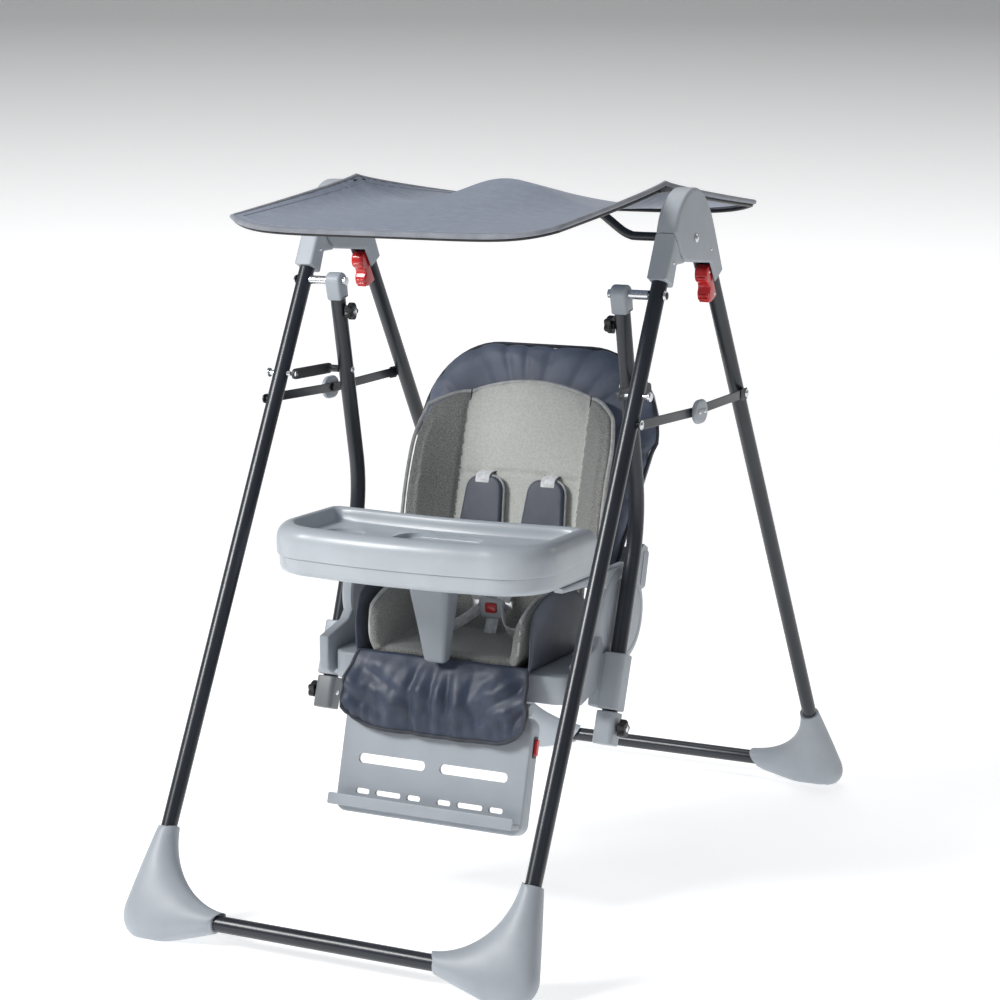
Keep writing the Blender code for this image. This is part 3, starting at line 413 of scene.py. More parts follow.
TUBE = tube_material()
LIGHT = plastic_material("light_grey_plastic", (0.408, 0.443, 0.482), 0.42)
LIGHT_GLOSS = plastic_material("tray_plastic", (0.480, 0.522, 0.560), 0.32, grain=900.0, coat=0.10)
POST = plastic_material("post_plastic", (0.260, 0.290, 0.320), 0.40)
# painted shade: a darker copy of the light grey plastic, used only for the left clamp
CLAMP_PAINTED_SHADE = plastic_material("clamp_plastic_painted_shade", (0.175, 0.185, 0.195), 0.40)
DARK = plastic_material("dark_grey_plastic", (0.060, 0.063, 0.066), 0.45)
BLACK = plastic_material("black_plastic", (0.012, 0.012, 0.014), 0.38)
RED = plastic_material("red_plastic", (0.62, 0.018, 0.020), 0.22, coat=0.5)
METAL = metal_material()
CANOPY_CLOTH = cloth_material(
    "canopy_cloth", (0.158, 0.192, 0.268), (0.190, 0.230, 0.318), 0.0011, 0.62, 0.25, 70.0
)
SLATE_CLOTH = cloth_material(
    "slate_nylon", (0.044, 0.054, 0.080), (0.068, 0.082, 0.116), 0.0010, 0.46, 0.15, 18.0
)
PAD_CLOTH = cloth_material(
    "pad_nylon", (0.086, 0.106, 0.152), (0.124, 0.150, 0.210), 0.0010, 0.46, 0.15, 18.0
)
APRON_CLOTH = cloth_material(
    "apron_nylon", (0.026, 0.036, 0.064), (0.042, 0.056, 0.094), 0.0010, 0.42, 0.10, 26.0
)
LINER_CLOTH = cloth_material(
    "melange_knit", (0.175, 0.178, 0.170), (0.350, 0.352, 0.332), 0.0016, 0.92, 0.35, 520.0, 0.6
)
PANEL_CLOTH = cloth_material(
    "pale_knit", (0.515, 0.526, 0.488), (0.615, 0.626, 0.582), 0.0016, 0.92, 0.35, 300.0, 0.4
)
PIPING = cloth_material("light_piping", (0.42, 0.42, 0.41), (0.56, 0.56, 0.55), 0.0012, 0.8, 0.2, 90.0)
DARK_PIPING = cloth_material(
    "dark_piping", (0.020, 0.024, 0.034), (0.034, 0.040, 0.054), 0.0010, 0.6, 0.2, 60.0
)
WEBBING = cloth_material(
    "white_webbing", (0.66, 0.67, 0.68), (0.90, 0.91, 0.92), 0.0012, 0.75, 0.2, 120.0, 0.6
)
HEM_CLOTH = cloth_material(
    "hem_cloth", (0.20, 0.215, 0.25), (0.27, 0.285, 0.32), 0.0011, 0.6, 0.25, 40.0
)
THREAD = cloth_material("pale_thread", (0.30, 0.32, 0.37), (0.42, 0.44, 0.50), 0.0006, 0.8, 0.1, 200.0)


# Making pieces ----------------------------------------------------------------------------------
PUFF_PRESSURE = 4.0
PUFF_FRAMES = 20


def add(name, bm, mat, body=None, stands_for=(), angle=40, subdivide=0):
    """Turns a bmesh into a piece that rides on a body and stands for CAD nodes."""
    bmesh.ops.recalc_face_normals(bm, faces=bm.faces)
    mesh = bpy.data.meshes.new(name)
    bm.to_mesh(mesh)
    bm.free()
    mesh.shade_smooth()
    if angle < 180:
        mesh.set_sharp_from_angle(angle=math.radians(angle))
    mesh.materials.append(mat)
    obj = bpy.data.objects.new(name, mesh)
    bpy.context.scene.collection.objects.link(obj)
    if subdivide:
        rounder = obj.modifiers.new("rounder", "SUBSURF")
        rounder.levels = rounder.render_levels = subdivide
    if body:
        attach(obj, body)
    if stands_for:
        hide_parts(*stands_for)
    return obj


def loft(name, rings, mat, body=None, stands_for=(), angle=40):
    """A closed solid through rings of equally many points."""
    bm = bmesh.new()
    loops = [[bm.verts.new(p) for p in ring] for ring in rings]
    for a, b in zip(loops, loops[1:]):
        for i in range(len(a)):
            bm.faces.new((a[i - 1], a[i], b[i], b[i - 1]))
    for ends in (loops[0], loops[-1]):
        bm.faces.new(ends)
    return add(name, bm, mat, body, stands_for, angle)


def slab(name, outline, place, low, high, mat, body=None, stands_for=(), rim=0.002, steps=4):
    """An outline given a thickness from low to high, with its two rims rounded."""
    rings = []
    for end, way in ((low, 1), (high, -1)):
        part = []
        for i in range(steps + 1):
            t = math.pi / 2 * i / steps
            level = end + way * rim * (1 - math.cos(t))
            ring = inset(outline, rim * (1 - math.sin(t)))
            part.append([place(a, b, level) for a, b in ring])
        rings += part if way == 1 else part[::-1]
    return loft(name, rings, mat, body, stands_for, 50)


def frames_along(points):
    """Two cross directions at each point of a path, turned as little as possible."""
    count = len(points)
    tangents = [
        (points[min(i + 1, count - 1)] - points[max(i - 1, 0)]).normalized() for i in range(count)
    ]
    side = tangents[0].cross(Vector((1, 0, 0)))
    if side.length < 0.1:
        side = tangents[0].cross(Vector((0, 0, 1)))
    frames = []
    for tangent in tangents:
        side = (side - tangent * side.dot(tangent)).normalized()
        frames.append((side, tangent.cross(side)))
    return frames


def tube(name, points, radius, mat, body=None, stands_for=(), sides=32):
    """A round bar along a path, with slightly rounded ends."""
    frames = frames_along(points)
    ends = 0.15 * radius
    path = [(points[0], frames[0], 0.85)]
    path.append((points[0] + (points[1] - points[0]).normalized() * ends, frames[0], 1.0))
    path += [(p, f, 1.0) for p, f in zip(points[1:-1], frames[1:-1])]
    path.append((points[-1] + (points[-2] - points[-1]).normalized() * ends, frames[-1], 1.0))
    path.append((points[-1], frames[-1], 0.85))
    rings = []
    for point, (u, v), scale in path:
        angles = [2 * math.pi * i / sides for i in range(sides)]
        rings.append([point + (u * math.cos(a) + v * math.sin(a)) * radius * scale for a in angles])
    return loft(name, rings, mat, body, stands_for)


def ring_tube(name, points, radius, mat, body, stands_for=(), sides=12):
    """A round cord along a closed path."""
    count = len(points)
    bm = bmesh.new()
    loops = []
    side = None
    for i, point in enumerate(points):
        tangent = (points[(i + 1) % count] - points[i - 1]).normalized()
        side = tangent.cross(Vector((0, 0, 1))) if side is None else side
        side = (side - tangent * side.dot(tangent)).normalized()
        up = tangent.cross(side)
        angles = [2 * math.pi * k / sides for k in range(sides)]
        ring = [point + (side * math.cos(a) + up * math.sin(a)) * radius for a in angles]
        loops.append([bm.verts.new(p) for p in ring])
    for k in range(count):
        a, b = loops[k - 1], loops[k]
        for i in range(sides):
            bm.faces.new((a[i - 1], a[i], b[i], b[i - 1]))
    return add(name, bm, mat, body, stands_for)


def turned(name, profile, origin, axis, mat, body=None, stands_for=(), sides=48):
    """A turned solid from (radius, distance along the axis) pairs."""
    axis = Vector(axis).normalized()
    u, v = frames_along([origin, origin + axis])[0]
    angles = [2 * math.pi * i / sides for i in range(sides)]
    rings = [
        [origin + axis * d + (u * math.cos(a) + v * math.sin(a)) * r for a in angles]
        for r, d in profile
    ]
    return loft(name, rings, mat, body, stands_for, 35)


def rivet(name, point, axis, radius, body):
    """A domed rivet head whose flat side is at point."""
    profile = [(radius, -0.0004)]
    for i in range(7):
        a = math.pi / 2 * i / 6
        profile.append((max(radius * math.cos(a), 0.0001), 0.45 * radius * math.sin(a)))
    return turned(name, profile, point, axis, METAL, body, sides=24)


def strap(name, points, across, width, thickness, mat, body=None):
    """Flat webbing along a path, given the direction of its width."""
    rings = []
    outline = rounded_box(width / 2, thickness / 2, thickness * 0.45, 3)
    for i, point in enumerate(points):
        tangent = points[min(i + 1, len(points) - 1)] - points[max(i - 1, 0)]
        tangent.normalize()
        side = (across - tangent * across.dot(tangent)).normalized()
        up = tangent.cross(side)
        rings.append([point + side * a + up * b for a, b in outline])
    return loft(name, rings, mat, body)


def cloth_grid(name, surface, across, along, thickness, mat, body=None, stands_for=(), subdivide=0):
    """A closed sheet of even thickness on the front of surface(u, v), with u and v from 0 to 1."""
    bm = bmesh.new()
    points = [[surface(i / across, j / along) for i in range(across + 1)] for j in range(along + 1)]
    skins = []
    for lift in (0, thickness):
        rows = []
        for j in range(along + 1):
            row = []
            for i in range(across + 1):
                du = points[j][min(i + 1, across)] - points[j][max(i - 1, 0)]
                dv = points[min(j + 1, along)][i] - points[max(j - 1, 0)][i]
                row.append(bm.verts.new(points[j][i] + du.cross(dv).normalized() * lift))
            rows.append(row)
        skins.append(rows)
    for rows in skins:
        for j in range(along):
            for i in range(across):
                bm.faces.new((rows[j][i], rows[j][i + 1], rows[j + 1][i + 1], rows[j + 1][i]))
    edge = [(0, i) for i in range(across)] + [(j, across) for j in range(along)]
    edge += [(along, i) for i in range(across, 0, -1)] + [(j, 0) for j in range(along, 0, -1)]
    for (j, i), (q, p) in zip(edge, edge[1:] + edge[:1]):
        bm.faces.new((skins[0][j][i], skins[0][q][p], skins[1][q][p], skins[1][j][i]))
    return add(name, bm, mat, body, stands_for, 180, subdivide)


def bake_modifiers(obj):
    """Applies a piece's modifiers to its mesh."""
    evaluated = obj.evaluated_get(bpy.context.evaluated_depsgraph_get())
    mesh = bpy.data.meshes.new_from_object(evaluated)
    obj.modifiers.clear()
    obj.data = mesh


def carve(obj, *cutters):
    """Cuts the cutters' shapes out of a piece."""
    for cutter in cutters:
        modifier = obj.modifiers.new("carve", "BOOLEAN")
        modifier.solver = "EXACT"
        modifier.object = cutter
    bake_modifiers(obj)
    for cutter in cutters:
        bpy.data.objects.remove(cutter)
    obj.data.shade_smooth()
    obj.data.set_sharp_from_angle(angle=math.radians(35))


def puff(obj, voxel, most):
    """Fills a closed pad with air by cloth simulation. No point moves further than most."""
    remesh = obj.modifiers.new("remesh", "REMESH")
    remesh.mode = "VOXEL"
    remesh.voxel_size = voxel
    bake_modifiers(obj)
    start = [v.co.copy() for v in obj.data.vertices]
    cloth = obj.modifiers.new("cloth", "CLOTH")
    cloth.settings.use_pressure = True
    cloth.settings.uniform_pressure_force = PUFF_PRESSURE
    cloth.settings.effector_weights.gravity = 0
    scene = bpy.context.scene
    for number in range(1, PUFF_FRAMES + 1):
        scene.frame_set(number)
    bake_modifiers(obj)
    scene.frame_set(1)
    for vertex, before in zip(obj.data.vertices, start):
        move = vertex.co - before
        if move.length > most:
            vertex.co = before + move * (most / move.length)
    obj.data.shade_smooth()
    rounder = obj.modifiers.new("rounder", "SUBSURF")
    rounder.levels = rounder.render_levels = 1


def dent(obj, depth_at):
    """Moves each point of a piece inwards by the depth that depth_at gives for its place."""
    normals = [v.normal.copy() for v in obj.data.vertices]
    for vertex, normal in zip(obj.data.vertices, normals):
        vertex.co -= normal * depth_at(vertex.co)


def paint(obj, mat, chosen):
    """Gives the faces whose middle passes the test another material."""
    obj.data.materials.append(mat)
    slot = len(obj.data.materials) - 1
    for face in obj.data.polygons:
        if chosen(face.center):
            face.material_index = slot


def finish_node(name, mat, angle=35):
    """Gives a CAD node that stays a smooth skin and its material."""
    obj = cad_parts[name]
    obj.data.materials.clear()
    obj.data.materials.append(mat)
    obj.data.shade_smooth()
    weld = obj.modifiers.new("weld", "WELD")
    weld.merge_threshold = 0.00002
    split = obj.modifiers.new("split", "EDGE_SPLIT")
    split.split_angle = math.radians(angle)


# The A-frame ------------------------------------------------------------------------------------
def make_legs(prefix, leg, side, name):
    """A leg's tube, with the washer, the rivet and the spacer of the stay that it carries."""
    body = f"{prefix}_frame"
    points = [leg(side, z) for z in (1.038, 0.7, 0.4, 0.045)]
    tube(f"{prefix}_leg_tube_{name}", points, LEG_R, TUBE, body, [f"{prefix}_leg_{name}"])
    point = leg(side, STAY_Z)
    point.x = side * (STAY_LAYERS[2] if prefix == "front" else STAY_LAYERS[1] + 0.0003)
    turned(
        f"{prefix}_stay_washer_{name}", ((0.0070, 0.0), (0.0074, 0.0004), (0.0070, 0.0010)), point,
        (side, 0, 0), METAL, body,
    )
    point.x += side * 0.0009
    rivet(f"{prefix}_stay_rivet_{name}", point, (side, 0, 0), 0.0048, body)
    point.x = side * (LEG_X + LEG_R - 0.001)
    turned(
        f"{prefix}_stay_spacer_{name}", ((0.0046, 0.0), (0.0046, 0.0018)), point, (side, 0, 0), BLACK,
        body,
    )


def round_corner(before, corner, after, radius, count):
    """Points along an arc that rounds a corner between two others."""
    corner = Vector(corner)
    u, v = (Vector(before) - corner).normalized(), (Vector(after) - corner).normalized()
    half = u.angle(v) / 2
    centre = corner + (u + v).normalized() * (radius / math.sin(half))
    first = corner + u * (radius / math.tan(half)) - centre
    last = corner + v * (radius / math.tan(half)) - centre
    return [
        tuple(centre + first.lerp(last, i / count).normalized() * radius) for i in range(count + 1)
    ]


def evenly(points, count):
    """The open outline through points, sampled again at even distances."""
    lengths = [0.0]
    for p, q in zip(points, points[1:]):
        lengths.append(lengths[-1] + math.dist(p, q))
    samples = []
    k = 0
    for i in range(count + 1):
        want = lengths[-1] * i / count
        while k < len(points) - 2 and lengths[k + 1] < want:
            k += 1
        t = (want - lengths[k]) / (lengths[k + 1] - lengths[k])
        samples.append(tuple(a + (b - a) * t for a, b in zip(points[k], points[k + 1])))
    return samples


def boot_edges(top, end):
    """The boot's inner and outer edges in the frame's plane, as (outwards, up the leg) points."""
    heel, sole_end = BOOT_HEEL, (BOOT_SOLE_END, BOOT_HEEL[1])
    outer = [(BOOT_SLEEVE_R, top)] + round_corner((BOOT_SLEEVE_R, top), heel, sole_end, 0.038, 24)
    outer += round_corner(heel, sole_end, (end, -BOOT_SLEEVE_R), 0.06, 8) + [(end, -BOOT_SLEEVE_R)]
    bend = (-end + top) / 2
    inner = [(-BOOT_SLEEVE_R, top)]
    inner += arc((-bend - BOOT_SLEEVE_R, bend + BOOT_SLEEVE_R), bend, 0, -90, 30)[1:-1]
    inner += [(end, BOOT_SLEEVE_R)]
    return inner, outer


def boot_lip(ring, way):
    """Rings that round off one of the boot's ends, from the smallest."""
    centre = sum(ring, Vector()) / len(ring)
    sizes = ((0.90, 0.0014), (0.96, 0.0012), (1.0, 0.0002))
    return [[centre + (p - centre) * size + way * out for p in ring] for size, out in sizes]


def make_boot(prefix, leg, side, name):
    """The moulded foot: a sleeve on the leg that flares to a heel, and a sleeve on the crossbar."""
    corner = leg(side, CROSSBAR_Z)
    up = (leg(side, 1) - leg(side, 0)).normalized()
    normal = up.cross(Vector((1, 0, 0))).normalized()
    inner, outer = boot_edges((leg(side, BOOT_TOP_Z) - corner).length, BOOT_END_X - LEG_X)
    steps, sides = 40, 56
    rings = []
    for k, (p, q) in enumerate(zip(evenly(inner, steps), evenly(outer, steps))):
        spot = [corner + Vector((side * a, 0, 0)) + up * b for a, b in (p, q)]
        centre, reach = (spot[0] + spot[1]) / 2, (spot[1] - spot[0]) / 2
        swell = math.sin(math.pi * k / steps)
        deep, square = BOOT_SLEEVE_R + BOOT_DEEP * swell, 1 - 0.10 * swell
        ring = []
        for i in range(sides):
            c, s = math.cos(2 * math.pi * i / sides), math.sin(2 * math.pi * i / sides)
            wide = math.copysign(abs(c) ** square, c)
            thick = math.copysign(abs(s) ** square, s)
            p = centre + reach * wide + normal * deep * thick
            ring.append(Vector((p.x, p.y, max(p.z, 0.0))))
        rings.append(ring)
    rings = boot_lip(rings[0], up) + rings + boot_lip(rings[-1], Vector((-side, 0, 0)))[::-1]
    body = f"{prefix}_frame"
    loft(f"{prefix}_boot_{name}", rings, LIGHT, body, [f"{prefix}_foot_{name}"], 60)

    def under_boot(a, b, c):
        return Vector((side * 0.300 + a, corner.y * 1.012 + b, c))

    pad = rounded_box(0.016, 0.011, 0.005)
    slab(f"{prefix}_boot_pad_{name}", pad, under_boot, 0.0002, 0.0050, BLACK, body, rim=0.001)


def make_crossbar(prefix, leg):
    """The tube between the two boots of one pair of legs."""
    y = leg(1, CROSSBAR_Z).y
    ends = [Vector((x, y, CROSSBAR_Z)) for x in (-0.28, -0.1, 0.1, 0.28)]
    tube(f"{prefix}_cross_tube", ends, LEG_R, TUBE, f"{prefix}_frame", [f"{prefix}_crossbar"])


def head_outline():
    """The head cap seen from the side: an arch over both legs, cut off along the socket's seam."""
    seam = [(y + 0.0018, z + 0.0014) for y, z in HEAD_SEAM[::-1]]
    arch = [seam[-1], (-0.0660, 1.0830), (-0.0420, 1.1065), (-0.0215, 1.1172), (0.0, 1.1205)]
    arch += [(0.0200, 1.1168), (0.0380, 1.1060), (0.0620, 1.0810), (0.0780, 1.0540)]
    sleeve = [(0.1135, 0.9857), (0.0851, 0.9689), (0.0636, 1.0000)]
    return spline(arch, 5) + sleeve + seam[:-1]


def make_head(side, name):
    """The hollow cap over both legs."""
    place = side_plane(side * LEG_X)
    cap = slab(
        f"head_shell_{name}", head_outline(), place, -HEAD_HALF, HEAD_HALF, LIGHT, "front_frame",
        [f"head_cap_{name}"], rim=0.0060, steps=6,
    )
    pocket = [(-0.0740, 1.0545), (-0.0600, 1.0790), (-0.0380, 1.1000), (0.0, 1.1130)]
    pocket += [(0.0330, 1.1000), (0.0560, 1.0770), (0.0725, 1.0520), (0.1118, 0.9850), (0.1080, 0.9400)]
    pocket += [(-0.0200, 0.9400), (-0.1000, 0.9900)]
    carve(cap, slab("pocket", pocket, place, -HEAD_SLOT_HALF, HEAD_SLOT_HALF, LIGHT, rim=0.0004))


def make_front_socket(side, name):
    """The socket that holds the front leg in the head."""
    place = side_plane(side * LEG_X)
    down = unit(-FRONT_SPREAD, -1)
    out = (down[1], -down[0])
    foot = (-LEG_Y_AT_1M - 0.02 * FRONT_SPREAD, 0.980)
    low = both_sides(foot, out, 0.0168)
    outline = [low[1], (-0.0860, 1.0420), *HEAD_SEAM, (-0.0700, 1.0055), low[0]]
    slab(
        f"socket_shell_{name}", outline, place, -SOCKET_HALF, SOCKET_HALF, LIGHT, "front_frame",
        [f"front_socket_{name}"], rim=0.0055, steps=6,
    )


def make_head_rivets(side, name):
    """A rivet on each face of the cap and of the socket, and the pin that both legs fold about."""
    rear, front = ("rear", (0.062, 1.022), HEAD_HALF), ("front", (-0.084, 1.010), SOCKET_HALF)
    for label, point, x in (rear, front):
        for way in (-1, 1):
            spot = at(side * LEG_X + way * side * (x - 0.0002), *point)
            rivet_name = f"head_rivet_{label}_{way + 1}_{name}"
            rivet(rivet_name, spot, (way * side, 0, 0), 0.0030, "front_frame")
    finish_node(f"fold_pin_{name}", METAL)


def make_rear_hinge(side, name):
    """The knuckle inside the head that carries the rear leg."""
    down = unit(REAR_SPREAD, -1)
    out = (-down[1], down[0])
    start = (LEG_Y_AT_1M + 0.04 * -REAR_SPREAD, 1.040)
    corners = both_sides(start, out, 0.0122)
    slab(
        f"rear_knuckle_{name}", hull(circle(HEAD_PIVOT, 0.018) + corners), side_plane(side * LEG_X),
        -0.0126, 0.0126, DARK, "rear_frame", rim=0.0015,
    )


def make_release_lever(side, name):
    """The red latch in front of the rear leg, with a thumb step and ribs."""
    down = unit(REAR_SPREAD, -1)
    front = (down[1], -down[0])
    start = (LEG_Y_AT_1M, 1.0)

    def shape(points):
        return [stepped(stepped(start, down, t), front, n) for t, n in points]

    body = f"release_lever_{name}"
    outline = [(-0.0055, 0.0136), (-0.0055, 0.0290), (0.0040, 0.0365), (0.0130, 0.0372), (0.0195, 0.0315)]
    outline += [(0.0265, 0.0320), (0.0335, 0.0405), (0.0440, 0.0432), (0.0515, 0.0380), (0.0545, 0.0136)]
    slab(
        f"lever_body_{name}", rounded_corners(shape(outline), 0.0035, 4), side_plane(side * LEG_X),
        -0.0108, 0.0108, RED, body, [body], rim=0.0030, steps=5,
    )
    for k, (t, n) in enumerate(((0.0065, 0.0372), (0.0360, 0.0418), (0.0420, 0.0430), (0.0475, 0.0412))):
        centre = shape([(t, n)])[0]
        slab(
            f"lever_rib_{k}_{name}", circle(centre, 0.0017, 16), side_plane(side * LEG_X), -0.0080, 0.0080,
            RED, body, rim=0.0008,
        )
    for k, t in enumerate((0.004, 0.046)):
        centre = shape([(t, 0.021)])[0]
        rivet(f"lever_pin_{k}_{name}", at(side * (LEG_X + 0.0104), *centre), (side, 0, 0), 0.0030, body)


def make_stays(side, name):
    """The two flat bars of the folding side stay, with the hub plate over their joint."""
    front = (-LEG_Y_AT_1M - (1 - STAY_Z) * FRONT_SPREAD, STAY_Z)
    rear = (LEG_Y_AT_1M + (1 - STAY_Z) * REAR_SPREAD, STAY_Z)
    hub = ((front[0] + rear[0]) / 2, STAY_Z - STAY_SAG)
    place = side_plane(0, side)
    for label, end, x in (("front", front, STAY_LAYERS[1]), ("rear", rear, STAY_LAYERS[0])):
        outline = hull(circle(end, STAY_BAR_R, 32) + circle(hub, STAY_BAR_R, 32))
        slab(
            f"{label}_stay_bar_{name}", outline, place, x + 0.0001, x + 0.0024, TUBE,
            f"{label}_stay_{name}", [f"{label}_stay_{name}"], rim=0.0007,
        )
    ends = [circle((hub[0] + dy, hub[1]), STAY_HUB_R) for dy in (-0.006, 0.006)]
    body = f"front_stay_{name}"
    slab(
        f"stay_hub_plate_{name}", hull(ends[0] + ends[1]), place, *STAY_HUB_X, LIGHT, body,
        rim=0.0035, steps=5,
    )
    ridge = [(a + hub[0], b + hub[1]) for a, b in rounded_box(0.017, 0.0045, 0.004)]
    slab(f"stay_hub_ridge_{name}", ridge, place, 0.3395, 0.3414, LIGHT, body, rim=0.0009)
    for k, dy in enumerate((-0.010, 0.010)):
        spot = at(side * 0.3411, hub[0] + dy, hub[1])
        rivet(f"stay_hub_rivet_{k}_{name}", spot, (side, 0, 0), 0.0034, body)
    latch = [(a + rear[0] - 0.010, b + rear[1] - 0.001) for a, b in rounded_box(0.0140, 0.0100, 0.005)]
    body = f"rear_stay_{name}"
    slab(f"stay_end_bracket_{name}", latch, place, 0.3291, 0.3299, BLACK, body, rim=0.0003)


# The canopy -------------------------------------------------------------------------------------
def canopy_height(u, v):
    """Raised at the middle of both side edges and over the tube, low along front and back."""
    ridge = max(0.0, 1 - abs(v)) ** 1.15
    crown = 0.042 * math.exp(-((u / 0.38) ** 2))
    saddle = 0.020 * max(0.0, 1 - u * u) ** 0.8
    side_edge = abs(u) ** 6 * (0.063 - 0.047 * abs(v) ** 0.85)
    return CANOPY_EDGE_Z + ridge * (crown + saddle) + side_edge


def canopy_point(u, v, lift=0.0):
    across, along = u * CANOPY_HALF_X, v * CANOPY_HALF_Y
    corner = max(0.0, abs(u) - 0.70) / 0.30
    along *= 1 - 0.07 * min(1.0, corner) ** 2.4
    return at(across, along, canopy_height(u, v) + lift)


def canopy_cloth_point(u, v):
    """The cloth's surface, with faint tension folds that run from the side peaks."""
    pull = math.exp(-((abs(u) - 1) ** 2) / 0.09) * math.exp(-(v**2) / 0.12)
    fold = 0.0012 * pull * math.sin(34 * math.atan2(v, 1.25 - abs(u)))
    slack = 0.0016 * noise.noise(Vector((u * 2.2, v * 2.6, 3.0))) * (1 - abs(v) ** 3) * (1 - u**4)
    return canopy_point(u, v, fold + slack + 0.0004)


def canopy_edge(count, scale=1.0, lift=0.0):
    steps = [2 * i / count - 1 for i in range(count)]
    edge = [(s, -1) for s in steps] + [(1, s) for s in steps]
    edge += [(-s, 1) for s in steps] + [(-1, -s) for s in steps]
    return [canopy_point(u * scale, v * scale, lift) for u, v in edge]


def make_canopy():
    """The cloth with its hem, its hoop and its stitching, over the bent tube that carries it."""
    cloth = cloth_grid(
        "canopy_sheet", lambda u, v: canopy_cloth_point(2 * u - 1, 2 * v - 1), 72, 72, 0.0014,
        CANOPY_CLOTH, "canopy", ["canopy_fabric"],
    )
    hem = ring_tube("canopy_hem", canopy_edge(60, 1.0, -0.0010), 0.0040, HEM_CLOTH, "canopy")
    hoop = canopy_edge(60, 0.986, -0.0062)
    ring_tube("canopy_hoop", hoop, 0.0028, BLACK, "canopy", ["canopy_wire"])
    stitches = canopy_edge(90, 0.955, 0.0022)
    seam = ring_tube("canopy_stitching", stitches, 0.0005, THREAD, "canopy", sides=6)
    make_canopy_tube()
    for name, side in SIDES:
        make_canopy_end(side, name)


def make_canopy_tube():
    """The tube from head to head, bent up under the canopy's crown."""
    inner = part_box("canopy_tube")[1].x
    bend = ((0.232, 0.0), (0.219, 0.0015), (0.207, 0.0065), (0.195, 0.0145), (0.182, 0.024))
    bend += ((0.168, 0.033),)
    right = [(inner - 0.0003, HEAD_PIVOT[1])] + [(x, HEAD_PIVOT[1] + rise) for x, rise in bend]
    for x in (0.150, 0.125, 0.100, 0.075, 0.050, 0.025, 0.0):
        right.append((x, canopy_height(x / CANOPY_HALF_X, 0) - 0.0095))
    path = right + [(-x, z) for x, z in right[-2::-1]]
    points = [at(x, 0, z) for x, z in spline(path, 4)]
    tube("canopy_tube_bent", points, 0.0070, TUBE, "canopy", ["canopy_tube"], 24)


def make_canopy_end(side, name):
    """The collar round the tube's end at the head, and the clip that holds the cloth's peak."""
    profile = ((0.0100, 0.0), (0.0118, 0.0010), (0.0118, 0.0080), (0.0100, 0.0100))
    inner_face = at(side * (LEG_X - HEAD_HALF - 0.0004), *HEAD_PIVOT)
    turned(f"canopy_collar_{name}", profile, inner_face, (-side, 0, 0), BLACK, "canopy")
    peak = canopy_point(side * 0.985, 0)

    def under_peak(a, b, c):
        return Vector((peak.x + side * c, peak.y + a, peak.z + b - 0.0045 - abs(a) * 0.12))

    slab(
        f"canopy_clip_{name}", rounded_box(0.0200, 0.0050, 0.004), under_peak, -0.0040, 0.0050, BLACK,
        "canopy", rim=0.0020,
    )


# The hanger -------------------------------------------------------------------------------------
def make_hanger_side(side, name):
    """One arm with its elbow, its knobs and its lock, and the seat's side that it carries."""
    outer_face, inner_face = 0.3256, 0.2325  # the head's, where the axle comes out
    points = [at(side * ARM_X, y, z) for y, z in [arm_start()] + bend_path()]
    tube(f"arm_tube_{name}", points, LEG_R, TUBE, "hanger", [f"swing_arm_{name}"])
    down = arm_direction()
    corners = both_sides(stepped(SWING_PIVOT, down, 0.0297), (-down[1], down[0]), 0.0128)
    elbow = rounded_corners(hull(circle(SWING_PIVOT, 0.0145, 40) + corners), 0.002, 2)
    slab(
        f"elbow_shell_{name}", elbow, side_plane(side * ARM_X), -0.0138, 0.0138, LIGHT, "hanger",
        [f"hanger_elbow_{name}"], rim=0.0045, steps=5,
    )
    finish_node(f"swing_axle_{name}", METAL)
    cap = ((0.0064, 0.0), (0.0066, 0.0026), (0.0056, 0.0042), (0.0030, 0.0050))
    axle_end = at(side * outer_face, *SWING_PIVOT)
    turned(f"axle_cap_{name}", cap, axle_end, (side, 0, 0), BLACK, "front_frame")
    nut = circle(SWING_PIVOT, 0.0075, 6)
    slab(
        f"axle_nut_{name}", nut, side_plane(0, side), inner_face, inner_face + 0.0060, METAL,
        "front_frame", rim=0.0006,
    )
    make_knob(f"upper_knob_{name}", f"upper_knob_boss_{name}", -side)
    make_knob(f"lower_knob_{name}", f"lower_knob_boss_{name}", side)
    finish_node(f"swing_lock_pin_{name}", METAL)
    finish_node(f"swing_lock_bar_{name}", DARK)
    arm_point = at(side * (ARM_X - LEG_R), -0.0785, 0.8160)
    rivet(f"arm_rivet_{name}", arm_point, (-side, 0, 0), 0.0052, "hanger")
    make_recline_cover(side, name)
    make_armrest(side, name)
    make_arm_sleeve(side, name)
    make_arm_clamp(side, name)


def make_knob(node_name, boss_name, face):
    """A knob with a metal boss on the face that looks that way along X."""
    finish_node(node_name, BLACK, 50)
    hub = middle(node_name)
    hub.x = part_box(node_name)[0 if face < 0 else 1].x
    profile = ((0.0052, -0.0006), (0.0052, 0.0006), (0.0042, 0.0012))
    turned(boss_name, profile, hub, (face, 0, 0), METAL, node_name, sides=24)


def bend_path():
    """The swing arm's two straight runs with a wide bend between them, as (y, z) points."""
    top, corner, foot = (Vector((*p, 0)) for p in (arm_start(), ARM_CORNER, ARM_END))
    u, v = (top - corner).normalized(), (foot - corner).normalized()
    half = u.angle(v) / 2
    centre = corner + (u + v).normalized() * (ARM_BEND_R / math.sin(half))
    first = corner + u * (ARM_BEND_R / math.tan(half)) - centre
    turn = (math.pi - 2 * half) * (1 if first.x * v.y - first.y * v.x > 0 else -1)
    points = []
    for i in range(19):
        angle = turn * i / 18
        points.append(
            (
                centre.x + first.x * math.cos(angle) - first.y * math.sin(angle),
                centre.y + first.x * math.sin(angle) + first.y * math.cos(angle),
            )
        )
    return points + [ARM_END]


def arm_start():
    return stepped(SWING_PIVOT, arm_direction(), 0.026)


